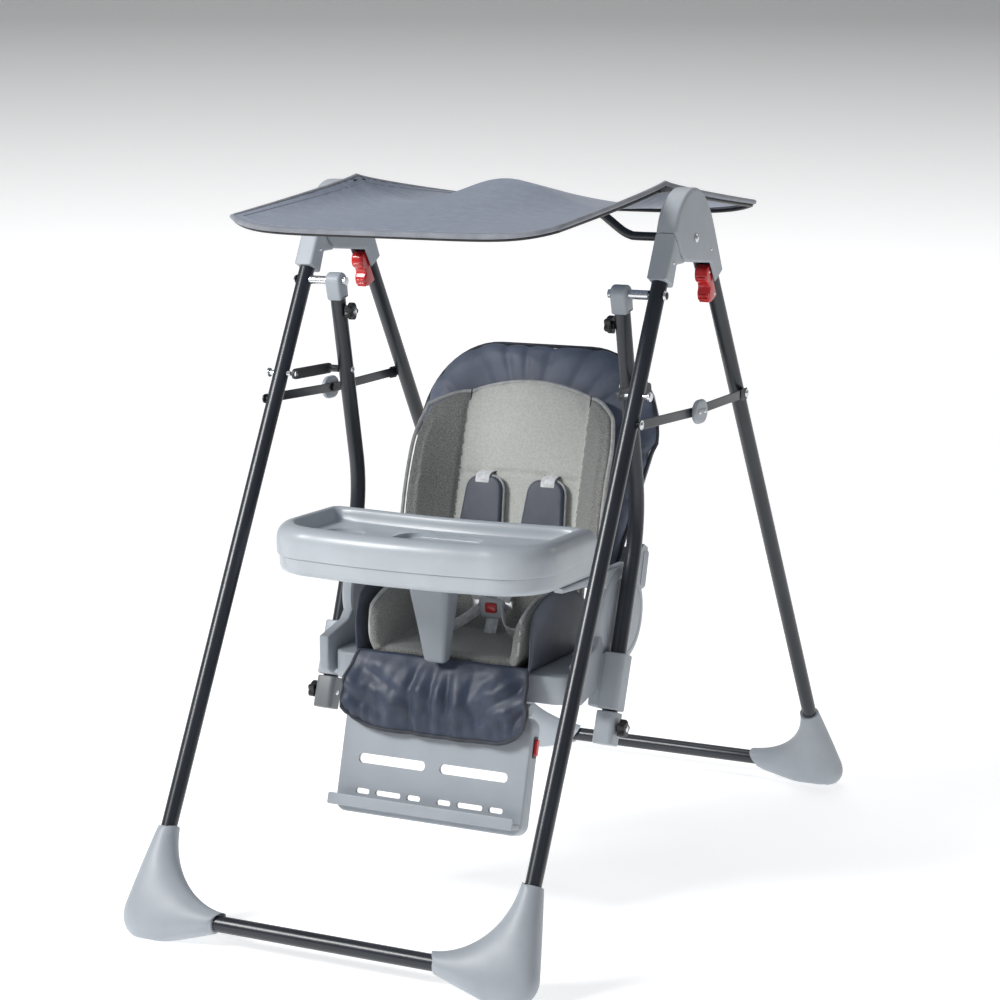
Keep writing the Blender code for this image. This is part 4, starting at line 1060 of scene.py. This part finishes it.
def around_run(side, z):
    """A frame on the arm's lower run: across, forward of it and down along it."""
    centre, down = along_run(z), run_direction()
    out = (-down[1], down[0])
    return lambda a, b, c: at(side * ARM_X + a, *stepped(stepped(centre, down, c), out, b))


def make_recline_cover(side, name):
    """The domed disc over the recline's axis."""
    profile = [(0.0770, 0.2142), (0.0800, 0.2170), (0.0800, 0.2290), (0.0785, 0.2330), (0.0750, 0.2358)]
    profile += [(0.0660, 0.2372), (0.0640, 0.2362), (0.0620, 0.2362), (0.0600, 0.2374), (0.0350, 0.2380)]
    profile += [(0.0100, 0.2380)]
    turned(
        f"recline_cover_{name}", profile, at(0, *DISC), (side, 0, 0), LIGHT, "hanger",
        [f"side_panel_{name}"], 72,
    )


def make_armrest(side, name):
    """The cheek that rises in front of the disc to the armrest."""
    rise = spline([(-0.142, 0.4140), (-0.126, 0.4330), (-0.115, 0.4600), (-0.111, 0.4980)], 5)
    cheek = [(-0.2070, 0.3980)] + rise + [(-0.118, 0.5130), (-0.262, 0.5215), (-0.266, 0.5294)]
    cheek += [(-0.030, 0.5294), (0.012, 0.4700), (0.0, 0.4200), (-0.052, 0.3720), (-0.195, 0.3330)]
    cheek += [(-0.2070, 0.3450)]
    slab(
        f"armrest_panel_{name}", cheek, side_plane(0, side), 0.2152, 0.2332, LIGHT, "hanger",
        rim=0.0036, steps=5,
    )


def make_arm_sleeve(side, name):
    """The sleeve that holds the seat to the arm, and the web between them."""
    place = around_run(side, SLEEVE_Z)
    sleeve = rounded_box(0.0185, 0.0185, 0.008)
    slab(f"arm_sleeve_{name}", sleeve, place, -0.0445, 0.0445, LIGHT, "hanger", rim=0.0025)
    web = [(a - side * 0.0215, b) for a, b in rounded_box(0.012, 0.0165, 0.005)]
    slab(f"sleeve_bridge_{name}", web, place, -0.0420, 0.0430, LIGHT, "hanger", rim=0.004)


def make_arm_clamp(side, name):
    """The clamp on the arm's end and its rivet. The left one has painted shade: a darker grey than the
    right one's same plastic.
    """
    # the left clamp gets painted shade, the right one the plain light grey plastic
    mat = LIGHT if side > 0 else CLAMP_PAINTED_SHADE
    place = around_run(side, CLAMP_Z)
    slab(
        f"clamp_shell_{name}", rounded_box(0.0170, 0.0172, 0.008), place, -0.0268, 0.0250, mat, "hanger",
        [f"arm_clamp_{name}"], rim=0.0020,
    )
    rivet(f"clamp_rivet_{name}", place(-side * 0.0168, 0.0, -0.002), (-side, 0, 0), 0.0045, "hanger")


# The seat ---------------------------------------------------------------------------------------
def liner_surface(u, v):
    """The seat insert's underside: a floor with low wings that rise steeply."""
    front, depth, floor = -0.212, 0.195, 0.3762
    w = 2 * u - 1
    climb = min(1.0, max(0.0, abs(w) - 0.62) / 0.38)
    x = math.copysign(min(abs(w), 0.62) / 0.62 * 0.116 + 0.024 * (1 - (1 - climb) ** 2.4), w)
    wing = 0.108 * math.sin(math.pi * (0.20 + 0.70 * v)) ** 0.5
    bow = 0.014 * climb * math.sin(math.pi * climb) * (1 - v)
    return at(x, front + depth * v - bow, floor + wing * climb**1.9)


def make_seat():
    """The seat pan and all the cloth on it."""
    finish_node("seat_pan", LIGHT, 60)
    liner = cloth_grid("seat_insert", liner_surface, 40, 24, 0.0150, LINER_CLOTH)
    puff(liner, 0.005, 0.0045)
    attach(liner, "hanger")
    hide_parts("seat_liner")
    edge = [liner_surface(0.0, v / 24) for v in range(24, 0, -1)]
    edge += [liner_surface(u / 60, 0.0) for u in range(61)]
    edge += [liner_surface(1.0, v / 24) for v in range(1, 25)]
    centre = at(0, -0.1, 0.46)
    points = [p + (centre - p).normalized() * 0.0085 for p in edge]
    tube("seat_insert_piping", points, 0.0032, PIPING, "hanger", sides=12)
    make_insert_bridge()
    make_seat_cover()
    make_apron()


def make_insert_bridge():
    """The padded cloth that joins the seat insert to the back insert behind the buckle."""
    start, low, end = (-0.030, 0.3800), (0.024, 0.3740), (0.0500, 0.4800)

    def surface(u, v):
        k = 1 - v
        y, z = (k * k * a + 2 * k * v * b + v * v * c for a, b, c in zip(start, low, end))
        w = 2 * u - 1
        curl = max(0.0, abs(w) - 0.70) / 0.30
        x = math.copysign(0.108 * min(abs(w), 0.70) / 0.70 + 0.034 * math.sin(curl * math.pi / 2), w)
        return at(x, y - 0.058 * curl**1.6 * v, z + 0.052 * curl**1.6 * (1 - 0.5 * v))

    bridge = cloth_grid("insert_bridge", surface, 20, 16, 0.0090, LINER_CLOTH, subdivide=1)
    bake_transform(bridge)


def make_seat_cover():
    """The slate cloth seat under the insert, which climbs the sides and turns down at the front."""

    def surface(u, v):
        w = 2 * u - 1
        climb = min(1.0, max(0.0, abs(w) - 0.70) / 0.30)
        x = math.copysign(min(abs(w), 0.70) / 0.70 * 0.140 + 0.017 * (1 - (1 - climb) ** 2.4), w)
        rise = 0.122 * math.sin(math.pi * (0.20 + 0.66 * v)) ** 0.5 * climb**1.9
        ripple = 0.0015 * noise.noise(Vector((x * 40, v * 9, rise * 40)))
        return at(x, -0.222 + 0.206 * v, 0.3756 + rise + ripple - 0.030 * max(0.0, 0.06 - v) / 0.06)

    cover = cloth_grid("seat_cover", surface, 48, 28, 0.0035, SLATE_CLOTH, "hanger", subdivide=1)


def apron_point(w, t):
    """The apron from the seat's front edge down over the legrest, with gathered pleats."""
    half = 0.150 + 0.016 * (1 - (1 - t) ** 2)
    top, bottom = Vector((0.0, -0.2150, 0.3860)), on_legrest(0, 0.058, 0.0300)
    lower = Vector((0, bottom.y - HEAD_Y, bottom.z + 0.010 * abs(w) ** 4))
    base = top.lerp(lower, t)
    bulge = 0.016 * math.sin(math.pi * min(1.0, t * 1.05))
    pleat = 0.0046 * math.sin(w * 21 + 2.4 * math.sin(w * 5)) * math.sin(math.pi * 0.93 * t)
    drag = 0.0052 * math.sin(16 * (t + 0.7 * abs(w)) + 3 * w) * abs(w) ** 1.3 * math.sin(math.pi * t)
    slack = 0.0036 * noise.noise(Vector((w * 6, t * 4, 1.7)))
    slack += 0.0034 * noise.noise(Vector((w * 13, t * 7 + 2 * abs(w), 5.2))) * math.sin(math.pi * t)
    near_hem = math.sin(math.pi * max(0.0, t - 0.62) / 0.38)
    gather = 0.0020 * math.sin(w * 50 + 2 * math.sin(w * 7)) * near_hem
    return at(w * half, base.y - bulge - pleat - drag - slack - gather, base.z)


def make_apron():
    """The cloth flap in front of the seat, with piping round its free edges."""

    def surface(u, v):
        w = 2 * u - 1
        corner = max(0.0, abs(w) - 0.68) / 0.32
        t = 1 - v
        round_off = 1 - 0.36 * (1 - math.sqrt(max(0.0, 1 - corner * corner)))
        return apron_point(w, t * round_off)

    flap = cloth_grid("apron_cloth", surface, 64, 28, 0.0030, APRON_CLOTH)
    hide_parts("front_flap")
    edge = [surface(0.0, 1 - k / 14) for k in range(15)]
    edge += [surface(k / 60, 0.0) for k in range(1, 60)]
    edge += [surface(1.0, k / 14) for k in range(15)]
    forward = Vector((0, -0.0025, 0))
    piping = tube("apron_piping", [p + forward for p in edge], 0.0034, DARK_PIPING, sides=12)
    for piece in (flap, piping):
        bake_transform(piece)


def back_half_width(h):
    """Half the pad's width at a height: it widens upwards, and its top corners are round."""
    if h < BACK_TOP - BACK_SHOULDER:
        return 0.172 + 0.048 * min(1.0, max(0.0, h - 0.05) / 0.23)
    t = (h - BACK_TOP + BACK_SHOULDER) / BACK_SHOULDER
    return 0.085 + 0.135 * math.sqrt(max(0.0, 1 - t * t))


def back_outline(shrink):
    """The pad's outline in the back's plane, made smaller by shrink."""
    heights = [0.018 + 0.242 * i / 12 for i in range(12)]
    heights += [0.260 + BACK_SHOULDER * math.sin(math.pi / 2 * i / 14) for i in range(15)]
    right = [(back_half_width(h) - shrink, h - shrink * h / BACK_TOP) for h in heights]
    return right + [(-w, h) for w, h in right[::-1]]


def make_backrest():
    """The shell, its handle and the slate pad with its piping."""
    finish_node("backrest_shell", LIGHT)
    finish_node("recline_handle", DARK)
    outline = back_outline(-0.0035)
    pad = slab("back_pad", outline, on_back, -0.0115, 0.0125, PAD_CLOTH, rim=0.010, steps=6)
    puff(pad, 0.006, 0.0060)

    def quilting(point):
        """Gathers that fan out along the pad's top edge."""
        w, h, _ = off_back(point)
        angle = math.atan2(h - 0.20, w)
        reach = math.hypot(w, h - 0.20)
        edge = min(1.0, max(0.0, (reach - 0.130) / 0.05))
        fan = 0.5 + 0.5 * math.cos(angle * 26 + 1.3 * math.sin(angle * 7))
        return 0.0032 * edge * fan**4 * (1 if h > 0.16 else 0.4)

    dent(pad, quilting)
    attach(pad, "backrest")
    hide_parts("back_cover")
    rim = [on_back(w, h, 0.0) for w, h in back_outline(0.0020)[1:-1]]
    tube("back_pad_piping", rim, 0.0032, DARK_PIPING, "backrest", sides=12)


def back_liner_surface(u, v, forward=0.0):
    """The back insert's rear face: a flat middle with deep wings, arched at the top."""
    w = 2 * u - 1
    wing = max(0.0, abs(w) - 0.55) / 0.45
    flat_w = min(abs(w), 0.55) / 0.55
    narrow = 1 - 0.20 * max(0.0, (v - 0.72) / 0.28) ** 2
    x = math.copysign(flat_w * BACK_FOLD_X + 0.074 * wing * narrow, w)
    crown = 0.346 - 0.022 * flat_w**2 - 0.034 * wing**1.7
    h = 0.010 + (crown - 0.010) * v
    depth = 0.070 * math.sin(math.pi * min(1.0, 0.20 + 0.66 * v)) ** 0.6
    return on_back(x, h, 0.0240 + depth * wing**1.15 + forward)


def make_back_liner():
    """The back insert with its pale middle panel, its folds and its piping."""
    liner = cloth_grid("back_insert", back_liner_surface, 48, 40, 0.0150, LINER_CLOTH)
    puff(liner, 0.005, 0.0040)

    def seams(point):
        """Sewn channels: one across at the shoulders and one up each wing's fold."""
        w, h, _ = off_back(point)
        from_seam = (h - 0.186 - 0.003 * math.cos(w * 30)) / 0.0035
        from_fold = (abs(w) - BACK_FOLD_X) / 0.0040
        across = math.exp(-(from_seam**2)) * (abs(w) < BACK_FOLD_X)
        return 0.0030 * across + 0.0032 * math.exp(-(from_fold**2))

    def on_panel(point):
        w, _, n = off_back(point)
        return abs(w) < BACK_FOLD_X + 0.001 and n > 0.026

    dent(liner, seams)
    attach(liner, "backrest")
    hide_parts("back_liner")
    paint(liner, PANEL_CLOTH, on_panel)
    for name, side in SIDES:
        fold = [back_liner_surface(0.5 + side * 0.275, v / 24, 0.0148) for v in range(2, 25)]
        tube(f"back_insert_fold_{name}", fold, 0.0011, DARK_PIPING, "backrest", sides=8)
    edge = [back_liner_surface(0.008, v / 30, 0.0075) for v in range(1, 30)]
    edge += [back_liner_surface(0.008 + 0.984 * u / 48, 0.988, 0.0110) for u in range(49)]
    edge += [back_liner_surface(0.992, v / 30, 0.0075) for v in range(29, 0, -1)]
    tube("back_insert_piping", edge, 0.0032, PIPING, "backrest", sides=12)


# The legrest ------------------------------------------------------------------------------------
def legrest_slots():
    """One side's slots: across from the group's middle, down from the hinge, and half sizes."""
    long_t, long_half = 0.1080, (0.0600, 0.0077)
    short_t, short_half_t = 0.1600, 0.0042
    slots = [(0.0, long_t, *long_half)]
    for x, half_x in ((-0.046, 0.0125), (0.0, 0.0230), (0.046, 0.0125)):
        slots.append((x, short_t, half_x, short_half_t))
    return slots


def make_legrest():
    """The board under the apron: two long slots, three short ones a side and a foot ledge."""
    back, front = LEGREST_N
    centre, half = sum(LEGREST_T) / 2, (LEGREST_T[1] - LEGREST_T[0]) / 2
    outline = [(a, b + centre) for a, b in rounded_box(LEGREST_HALF_X, half, 0.018)]
    board = slab(
        "legrest_board", outline, on_legrest, back, front, LIGHT, "legrest", ["legrest_panel"],
        rim=0.0035, steps=5,
    )
    inside = [(a, b + centre) for a, b in rounded_box(LEGREST_HALF_X - 0.005, half - 0.005, 0.013)]
    cutters = [slab("hollow", inside, on_legrest, back - 0.02, front - 0.006, LIGHT, rim=0.0005)]
    for side in (-1, 1):
        for x, t, half_x, half_t in legrest_slots():
            x += side * LEGREST_SLOT_X
            slot = [(a + x, b + t) for a, b in rounded_box(half_x, half_t, half_t * 0.9)]
            cutters.append(slab("slot", slot, on_legrest, -0.02, 0.04, LIGHT, rim=0.0005))
    carve(board, *cutters)
    barrel = [on_legrest(x, 0.0, 0) for x in (-0.150, -0.05, 0.05, 0.150)]
    tube("legrest_hinge_barrel", barrel, 0.0100, LIGHT, "legrest", sides=32)
    web = [(a, b + 0.0110) for a, b in rounded_box(0.1450, 0.0110, 0.003)]
    slab("legrest_hinge_web", web, on_legrest, -0.0070, front - 0.004, LIGHT, "legrest", rim=0.001)
    make_foot_shelf(front)
    for name, side in SIDES:
        make_legrest_button(side, name)


def make_foot_shelf(front):
    """The ledge across the board's foot, with a lip at its front. front is the board's front face."""

    def on_shelf(a, b, c):
        return on_legrest(a, FOOT_SHELF_T + c, front + 0.0125 + b)

    def on_lip(a, b, c):
        return on_legrest(a, 0.1763 + b, front + 0.0262 + c)

    shelf = rounded_box(LEGREST_HALF_X - 0.002, 0.0140, 0.004)
    slab("foot_shelf", shelf, on_shelf, -0.0045, 0.0040, LIGHT, "legrest", rim=0.002, steps=5)
    lip = rounded_box(LEGREST_HALF_X - 0.001, 0.0092, 0.003)
    slab("foot_shelf_lip", lip, on_lip, -0.0022, 0.0022, LIGHT, "legrest", rim=0.0015, steps=4)


def make_legrest_button(side, name):
    """The tilt button on the board's edge. The right one is red, as in the photo."""
    finish_node(f"legrest_button_{name}", RED if side > 0 else BLACK)

    def on_edge(a, b, c):
        return on_legrest(side * c, 0.0560 + a, b + 0.004)

    low, high = LEGREST_HALF_X - 0.0010, LEGREST_HALF_X + 0.0010
    bezel = rounded_box(0.0170, 0.0070, 0.004)
    slab(f"legrest_button_bezel_{name}", bezel, on_edge, low, high, BLACK, "legrest", rim=0.0005)


# The tray ---------------------------------------------------------------------------------------
def tray_outline():
    """The tray in plan: a hollowed back edge, round front corners and a bowed front."""
    radius, bow, hollow, corner = 0.085, 0.012, 0.018, 0.014
    front = TRAY_FRONT_Y + bow
    back = TRAY_BACK_Y
    span = TRAY_HALF_X - corner
    outline = arc((TRAY_HALF_X - corner, back - corner), corner, 0, 78, 8)
    for i in range(1, 24):
        x = span - 2 * span * i / 24
        outline.append((x, back - hollow * (1 - (x / span) ** 2) ** 1.5))
    outline += arc((-TRAY_HALF_X + corner, back - corner), corner, 102, 180, 8)
    outline += arc((-TRAY_HALF_X + radius, front + radius), radius, 180, 270, 20)
    span = TRAY_HALF_X - radius
    for i in range(1, 18):
        x = -span + 2 * span * i / 18
        outline.append((x, front - bow * (1 - (x / span) ** 2)))
    outline += arc((TRAY_HALF_X - radius, front + radius), radius, 270, 360, 20)
    return outline


def shrunk(outline, distance):
    """The outline drawn in towards its middle line by a distance, without crossing itself."""
    half_x, low, high = TRAY_HALF_X, TRAY_FRONT_Y, TRAY_BACK_Y
    mid = (low + high) / 2
    kx, ky = 1 - distance / half_x, 1 - 2 * distance / (high - low)
    return [(x * kx, mid + (y - mid) * ky) for x, y in outline]


def tray_shell(name, profile, mat, stands_for):
    """A tray half through (inset, height) pairs from its bottom to its top."""
    rings = [[at(a, b, z) for a, b in shrunk(tray_outline(), shrink)] for shrink, z in profile]
    return loft(name, rings, mat, "tray", stands_for, 60)


def make_tray():
    """The two shells, with the cup's recess and the dish, and the post under them."""
    seam, top, floor = TRAY_SEAM_Z, TRAY_TOP_Z, TRAY_FLOOR_Z
    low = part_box("tray_base")[0].z
    lower = [(0.020, low), (0.011, low + 0.0008), (0.0065, low + 0.004), (0.0042, low + 0.010)]
    tray_shell("tray_lower_shell", lower + [(0.0036, seam - 0.0007)], LIGHT_GLOSS, ["tray_base"])
    upper = [(0.0022, seam), (0.0008, seam + 0.0010), (0.0, seam + 0.004), (0.0, top - 0.026)]
    for i in range(1, 10):
        turn = math.pi / 2 * i / 9
        upper.append((0.0200 * (1 - math.cos(turn)), top - 0.0240 + 0.0240 * math.sin(turn)))
    upper += [(0.0225, top - 0.0002), (0.0250, top - 0.0014), (0.0270, top - 0.0045)]
    upper += [(0.0285, top - 0.0100), (0.0300, floor + 0.0050), (0.0325, floor + 0.0015), (0.0370, floor)]
    shell = tray_shell("tray_upper_shell", upper, LIGHT_GLOSS, ["tray_top"])

    def round_cup(a, b, c):
        return at(CUP[0] + a, CUP[1] + b, c)

    above = floor + 0.03
    circle_cup = circle((0, 0), CUP_R, 64)
    cup = slab("cup", circle_cup, round_cup, floor - CUP_DEPTH, above, LIGHT, rim=0.003)
    rounded_dish = [(a + DISH[0], b + DISH[1]) for a, b in rounded_box(*DISH_HALF, 0.026)]
    dish = slab("dish", rounded_dish, at, floor - DISH_DEPTH, above, LIGHT, rim=0.003)
    carve(shell, cup, dish)
    make_crotch_post()


def make_crotch_post():
    """The post under the tray, as (height, half width, half depth, middle) down its taper."""
    sections = [(0.5297, 0.0370, 0.0300, -0.2450), (0.5200, 0.0362, 0.0285, -0.2445)]
    sections += [(0.4900, 0.0330, 0.0245, -0.2422), (0.4500, 0.0270, 0.0190, -0.2390)]
    sections += [(0.4200, 0.0228, 0.0155, -0.2370), (0.4000, 0.0200, 0.0130, -0.2360)]
    sections += [(0.3900, 0.0185, 0.0115, -0.2356), (0.3862, 0.0150, 0.0085, -0.2355)]
    rings = []
    for z, half_x, half_y, y in sections:
        rings.append([at(a, y + b, z) for a, b in rounded_box(half_x, half_y, half_y * 0.5)])
    loft("crotch_post_shell", rings, POST, "tray", ["crotch_post"], 60)


# The harness ------------------------------------------------------------------------------------
ACROSS = Vector((1, 0, 0))
SHOULDER_X = 0.060  # the shoulder webbing's distance from the middle
SHOULDER_SLOT = 0.190  # its slot's height, up the back's plane
STRAP_SIZE = (0.0220, 0.0016)


def smooth_path(points):
    """A smooth curve through points, as vectors."""
    return [Vector(p) for p in spline([tuple(p) for p in points])]


def make_shoulder_pad(side, name):
    """A tapered pad with piping, and the webbing that leaves its top for the slot in the back."""
    outline = []
    for a, b in rounded_box(0.0370, 0.0610, 0.022):
        outline.append((side * 0.0565 + a * (1 - 2.2 * b), b + 0.118))
    pad = slab(
        f"shoulder_pad_{name}", outline, on_back, 0.0440, 0.0600, SLATE_CLOTH, "backrest",
        [f"shoulder_strap_{name}"], rim=0.0055, steps=6,
    )
    rim = [on_back(w, h, 0.0520) for w, h in inset(outline, -0.0004)]
    ring_tube(f"shoulder_pad_piping_{name}", rim, 0.0025, PIPING, "backrest")
    top = [(SHOULDER_SLOT, 0.0330), (0.1885, 0.0430), (0.183, 0.0550), (0.176, 0.0598), (0.160, 0.0580)]
    path = [on_back(side * SHOULDER_X, h, n) for h, n in spline(top, 4)]
    strap(f"shoulder_webbing_{name}", path, ACROSS, 0.0250, 0.0016, WEBBING, "backrest")


def make_lower_strap(side, name):
    """The webbing from under a shoulder pad to the buckle, and the lap strap from the seat's side."""
    under_pad = on_back(side * 0.052, 0.070, 0.0470)
    below_pad = on_back(side * 0.042, 0.045, 0.0520)
    above_buckle = at(side * 0.030, BUCKLE[0] - 0.002, BUCKLE[1] + 0.030)
    buckle_top = at(side * 0.018, BUCKLE[0] - 0.002, BUCKLE[1] + 0.010)
    path = smooth_path([under_pad, below_pad, above_buckle, buckle_top])
    lower = strap(f"lower_webbing_{name}", path, ACROSS, *STRAP_SIZE, WEBBING)
    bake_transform(lower)
    lap = [at(side * 0.104, -0.044, 0.4020), at(side * 0.090, -0.070, 0.4070)]
    lap += [at(side * 0.064, -0.088, 0.4080), at(side * 0.042, -0.084, 0.4150)]
    lap += [at(side * 0.021, BUCKLE[0] - 0.003, BUCKLE[1] - 0.002)]
    leaning_back = Vector((0, -0.6, 0.8))
    lap_path = smooth_path(lap)
    strap(f"lap_webbing_{name}", lap_path, leaning_back, *STRAP_SIZE, WEBBING, "hanger")


def make_harness_slot(side, name):
    """The dark slot in the back that the shoulder webbing comes out of."""
    x, h = side * SHOULDER_X, SHOULDER_SLOT
    slot = [(x + a, b + h) for a, b in rounded_box(0.0170, 0.0045, 0.004)]
    slab(f"harness_slot_{name}", slot, on_back, 0.0340, 0.0415, BLACK, "backrest", rim=0.001)


def make_buckle():
    """The buckle with its red button's pocket, its tongues and the strap up to it."""

    def place(a, b, c):
        return at(a, BUCKLE[0] - c, BUCKLE[1] + b)

    right = [(0.022, 0.016), (0.025, 0.002), (0.018, -0.018)]
    shield = [(-0.022, 0.016)] + right + [(-0.018, -0.018), (-0.025, 0.002)]
    shell = slab(
        "buckle_shell", rounded_corners(shield, 0.006), place, -0.0065, 0.0062, LIGHT_GLOSS, "hanger",
        ["harness_buckle"], rim=0.0030, steps=5,
    )
    pocket = rounded_box(0.0104, 0.0084, 0.0034)
    carve(shell, slab("pocket", pocket, place, 0.0005, 0.0120, LIGHT, rim=0.0002))
    finish_node("buckle_button", RED)
    strip = [at(0, BUCKLE[0], BUCKLE[1] - 0.016), at(0, BUCKLE[0] - 0.004, 0.409)]
    strip += [at(0, BUCKLE[0] - 0.012, 0.396)]
    strap("crotch_webbing", strip, ACROSS, 0.0220, 0.0018, WEBBING, "hanger")
    for side in (-1, 1):
        tongue = [(side * (0.0290 + a), b + 0.006) for a, b in rounded_box(0.0080, 0.0075, 0.003)]
        slab(f"buckle_tongue_{side + 1}", tongue, place, -0.0030, 0.0030, METAL, "hanger", rim=0.001)


# The stage --------------------------------------------------------------------------------------
def glow_and_painted_shade_by_height(paper):
    """Lights the paper from behind with a glow, and paints shade on it that darkens it to grey up the
    backdrop.
    """
    place = node(paper, "ShaderNodeTexCoord")
    split = node(paper, "ShaderNodeSeparateXYZ")
    link(paper, place, split, "Object", "Vector")
    shader = paper.node_tree.nodes["Principled BSDF"]
    shader.inputs["Emission Color"].default_value = (1, 1, 1, 1)
    glow = node(paper, "ShaderNodeMapRange", From_Min=0.60, From_Max=1.45, To_Min=0.62, To_Max=0.02)
    link(paper, split, glow, "Z", "Value")
    link(paper, glow, shader, "Result", "Emission Strength")
    # painted shade: the paper's colour goes from pale to grey up the backdrop
    height = node(paper, "ShaderNodeMapRange", From_Min=0.60, From_Max=1.60)
    link(paper, split, height, "Z", "Value")
    ramp = node(paper, "ShaderNodeValToRGB")
    ramp.color_ramp.elements[0].color = (0.80, 0.80, 0.80, 1)
    ramp.color_ramp.elements[1].color = (0.42, 0.42, 0.42, 1)
    link(paper, height, ramp, "Result", "Fac")
    link(paper, ramp, shader, "Color", "Base Color")


def make_stage():
    """A pale floor that curves up into the backdrop."""
    bm = bmesh.new()
    start, radius, reach = 3.2, 1.6, 9.0
    profile = [(-reach, 0.0), (start, 0.0)]
    for a in (0.2, 0.4, 0.7, 1.0, 1.3, 1.57):
        profile.append((start + radius * math.sin(a), radius - radius * math.cos(a)))
    profile.append((start + radius, reach))
    rows = [[bm.verts.new((x, y, z - 0.0005)) for x in (-reach, reach)] for y, z in profile]
    for a, b in zip(rows, rows[1:]):
        bm.faces.new((a[0], a[1], b[1], b[0]))
    paper = material("backdrop_paper", (0.80, 0.80, 0.80), 0.9)
    glow_and_painted_shade_by_height(paper)
    floor = add("studio_floor", bm, paper)
    floor.rotation_euler.z = math.radians(27.3)  # square to the camera


def make_light(name, location, target_z, size, energy):
    """A round area light that points at the model's middle line at a height."""
    data = bpy.data.lights.new(name, "AREA")
    data.shape = "DISK"
    data.size = size
    data.energy = energy
    light = bpy.data.objects.new(name, data)
    light.location = location
    aim = Vector((0, 0, target_z)) - Vector(location)
    light.rotation_euler = aim.to_track_quat("-Z", "Y").to_euler()
    bpy.context.scene.collection.objects.link(light)


def make_camera():
    """The camera that was fitted to the photo's legs and crossbars."""
    data = bpy.data.cameras.new("camera")
    data.sensor_width = 36
    data.lens = CAMERA_LENS
    camera = bpy.data.objects.new("camera", data)
    camera.location = at(*CAMERA_PLACE)
    camera.rotation_euler = (math.pi / 2 - CAMERA_DOWN, 0, CAMERA_TURN)
    bpy.context.scene.collection.objects.link(camera)
    bpy.context.scene.camera = camera


def make_lights():
    """A bright backdrop that lights the object only a little, a large key at the left and a fill."""
    world = bpy.data.worlds.new("studio")
    world.use_nodes = True
    world.node_tree.nodes["Background"].inputs["Color"].default_value = (0.92, 0.95, 1.0, 1)
    world.node_tree.nodes["Background"].inputs["Strength"].default_value = 0.22
    bpy.context.scene.world = world
    bpy.context.scene.view_settings.view_transform = "Standard"
    make_light("key", (-2.2, -2.9, 2.9), 0.6, 1.5, 128)
    make_light("fill", (3.0, -2.6, 1.6), 0.6, 2.2, 2)
    make_light("top", (-0.3, 0.8, 3.6), 0.5, 2.5, 30)
    make_light("rim", (2.4, 2.6, 2.4), 0.7, 1.2, 7)


def main():
    make_camera()
    make_stage()
    make_lights()
    for name, side in SIDES:
        for prefix, leg in (("front", front_leg), ("rear", rear_leg)):
            make_legs(prefix, leg, side, name)
            make_boot(prefix, leg, side, name)
        make_head(side, name)
        make_front_socket(side, name)
        make_head_rivets(side, name)
        make_rear_hinge(side, name)
        make_release_lever(side, name)
        make_stays(side, name)
        make_hanger_side(side, name)
    make_crossbar("front", front_leg)
    make_crossbar("rear", rear_leg)
    make_canopy()
    make_seat()
    make_backrest()
    make_back_liner()
    make_legrest()
    make_tray()
    for name, side in SIDES:
        make_shoulder_pad(side, name)
        make_lower_strap(side, name)
        make_harness_slot(side, name)
    make_buckle()


main()
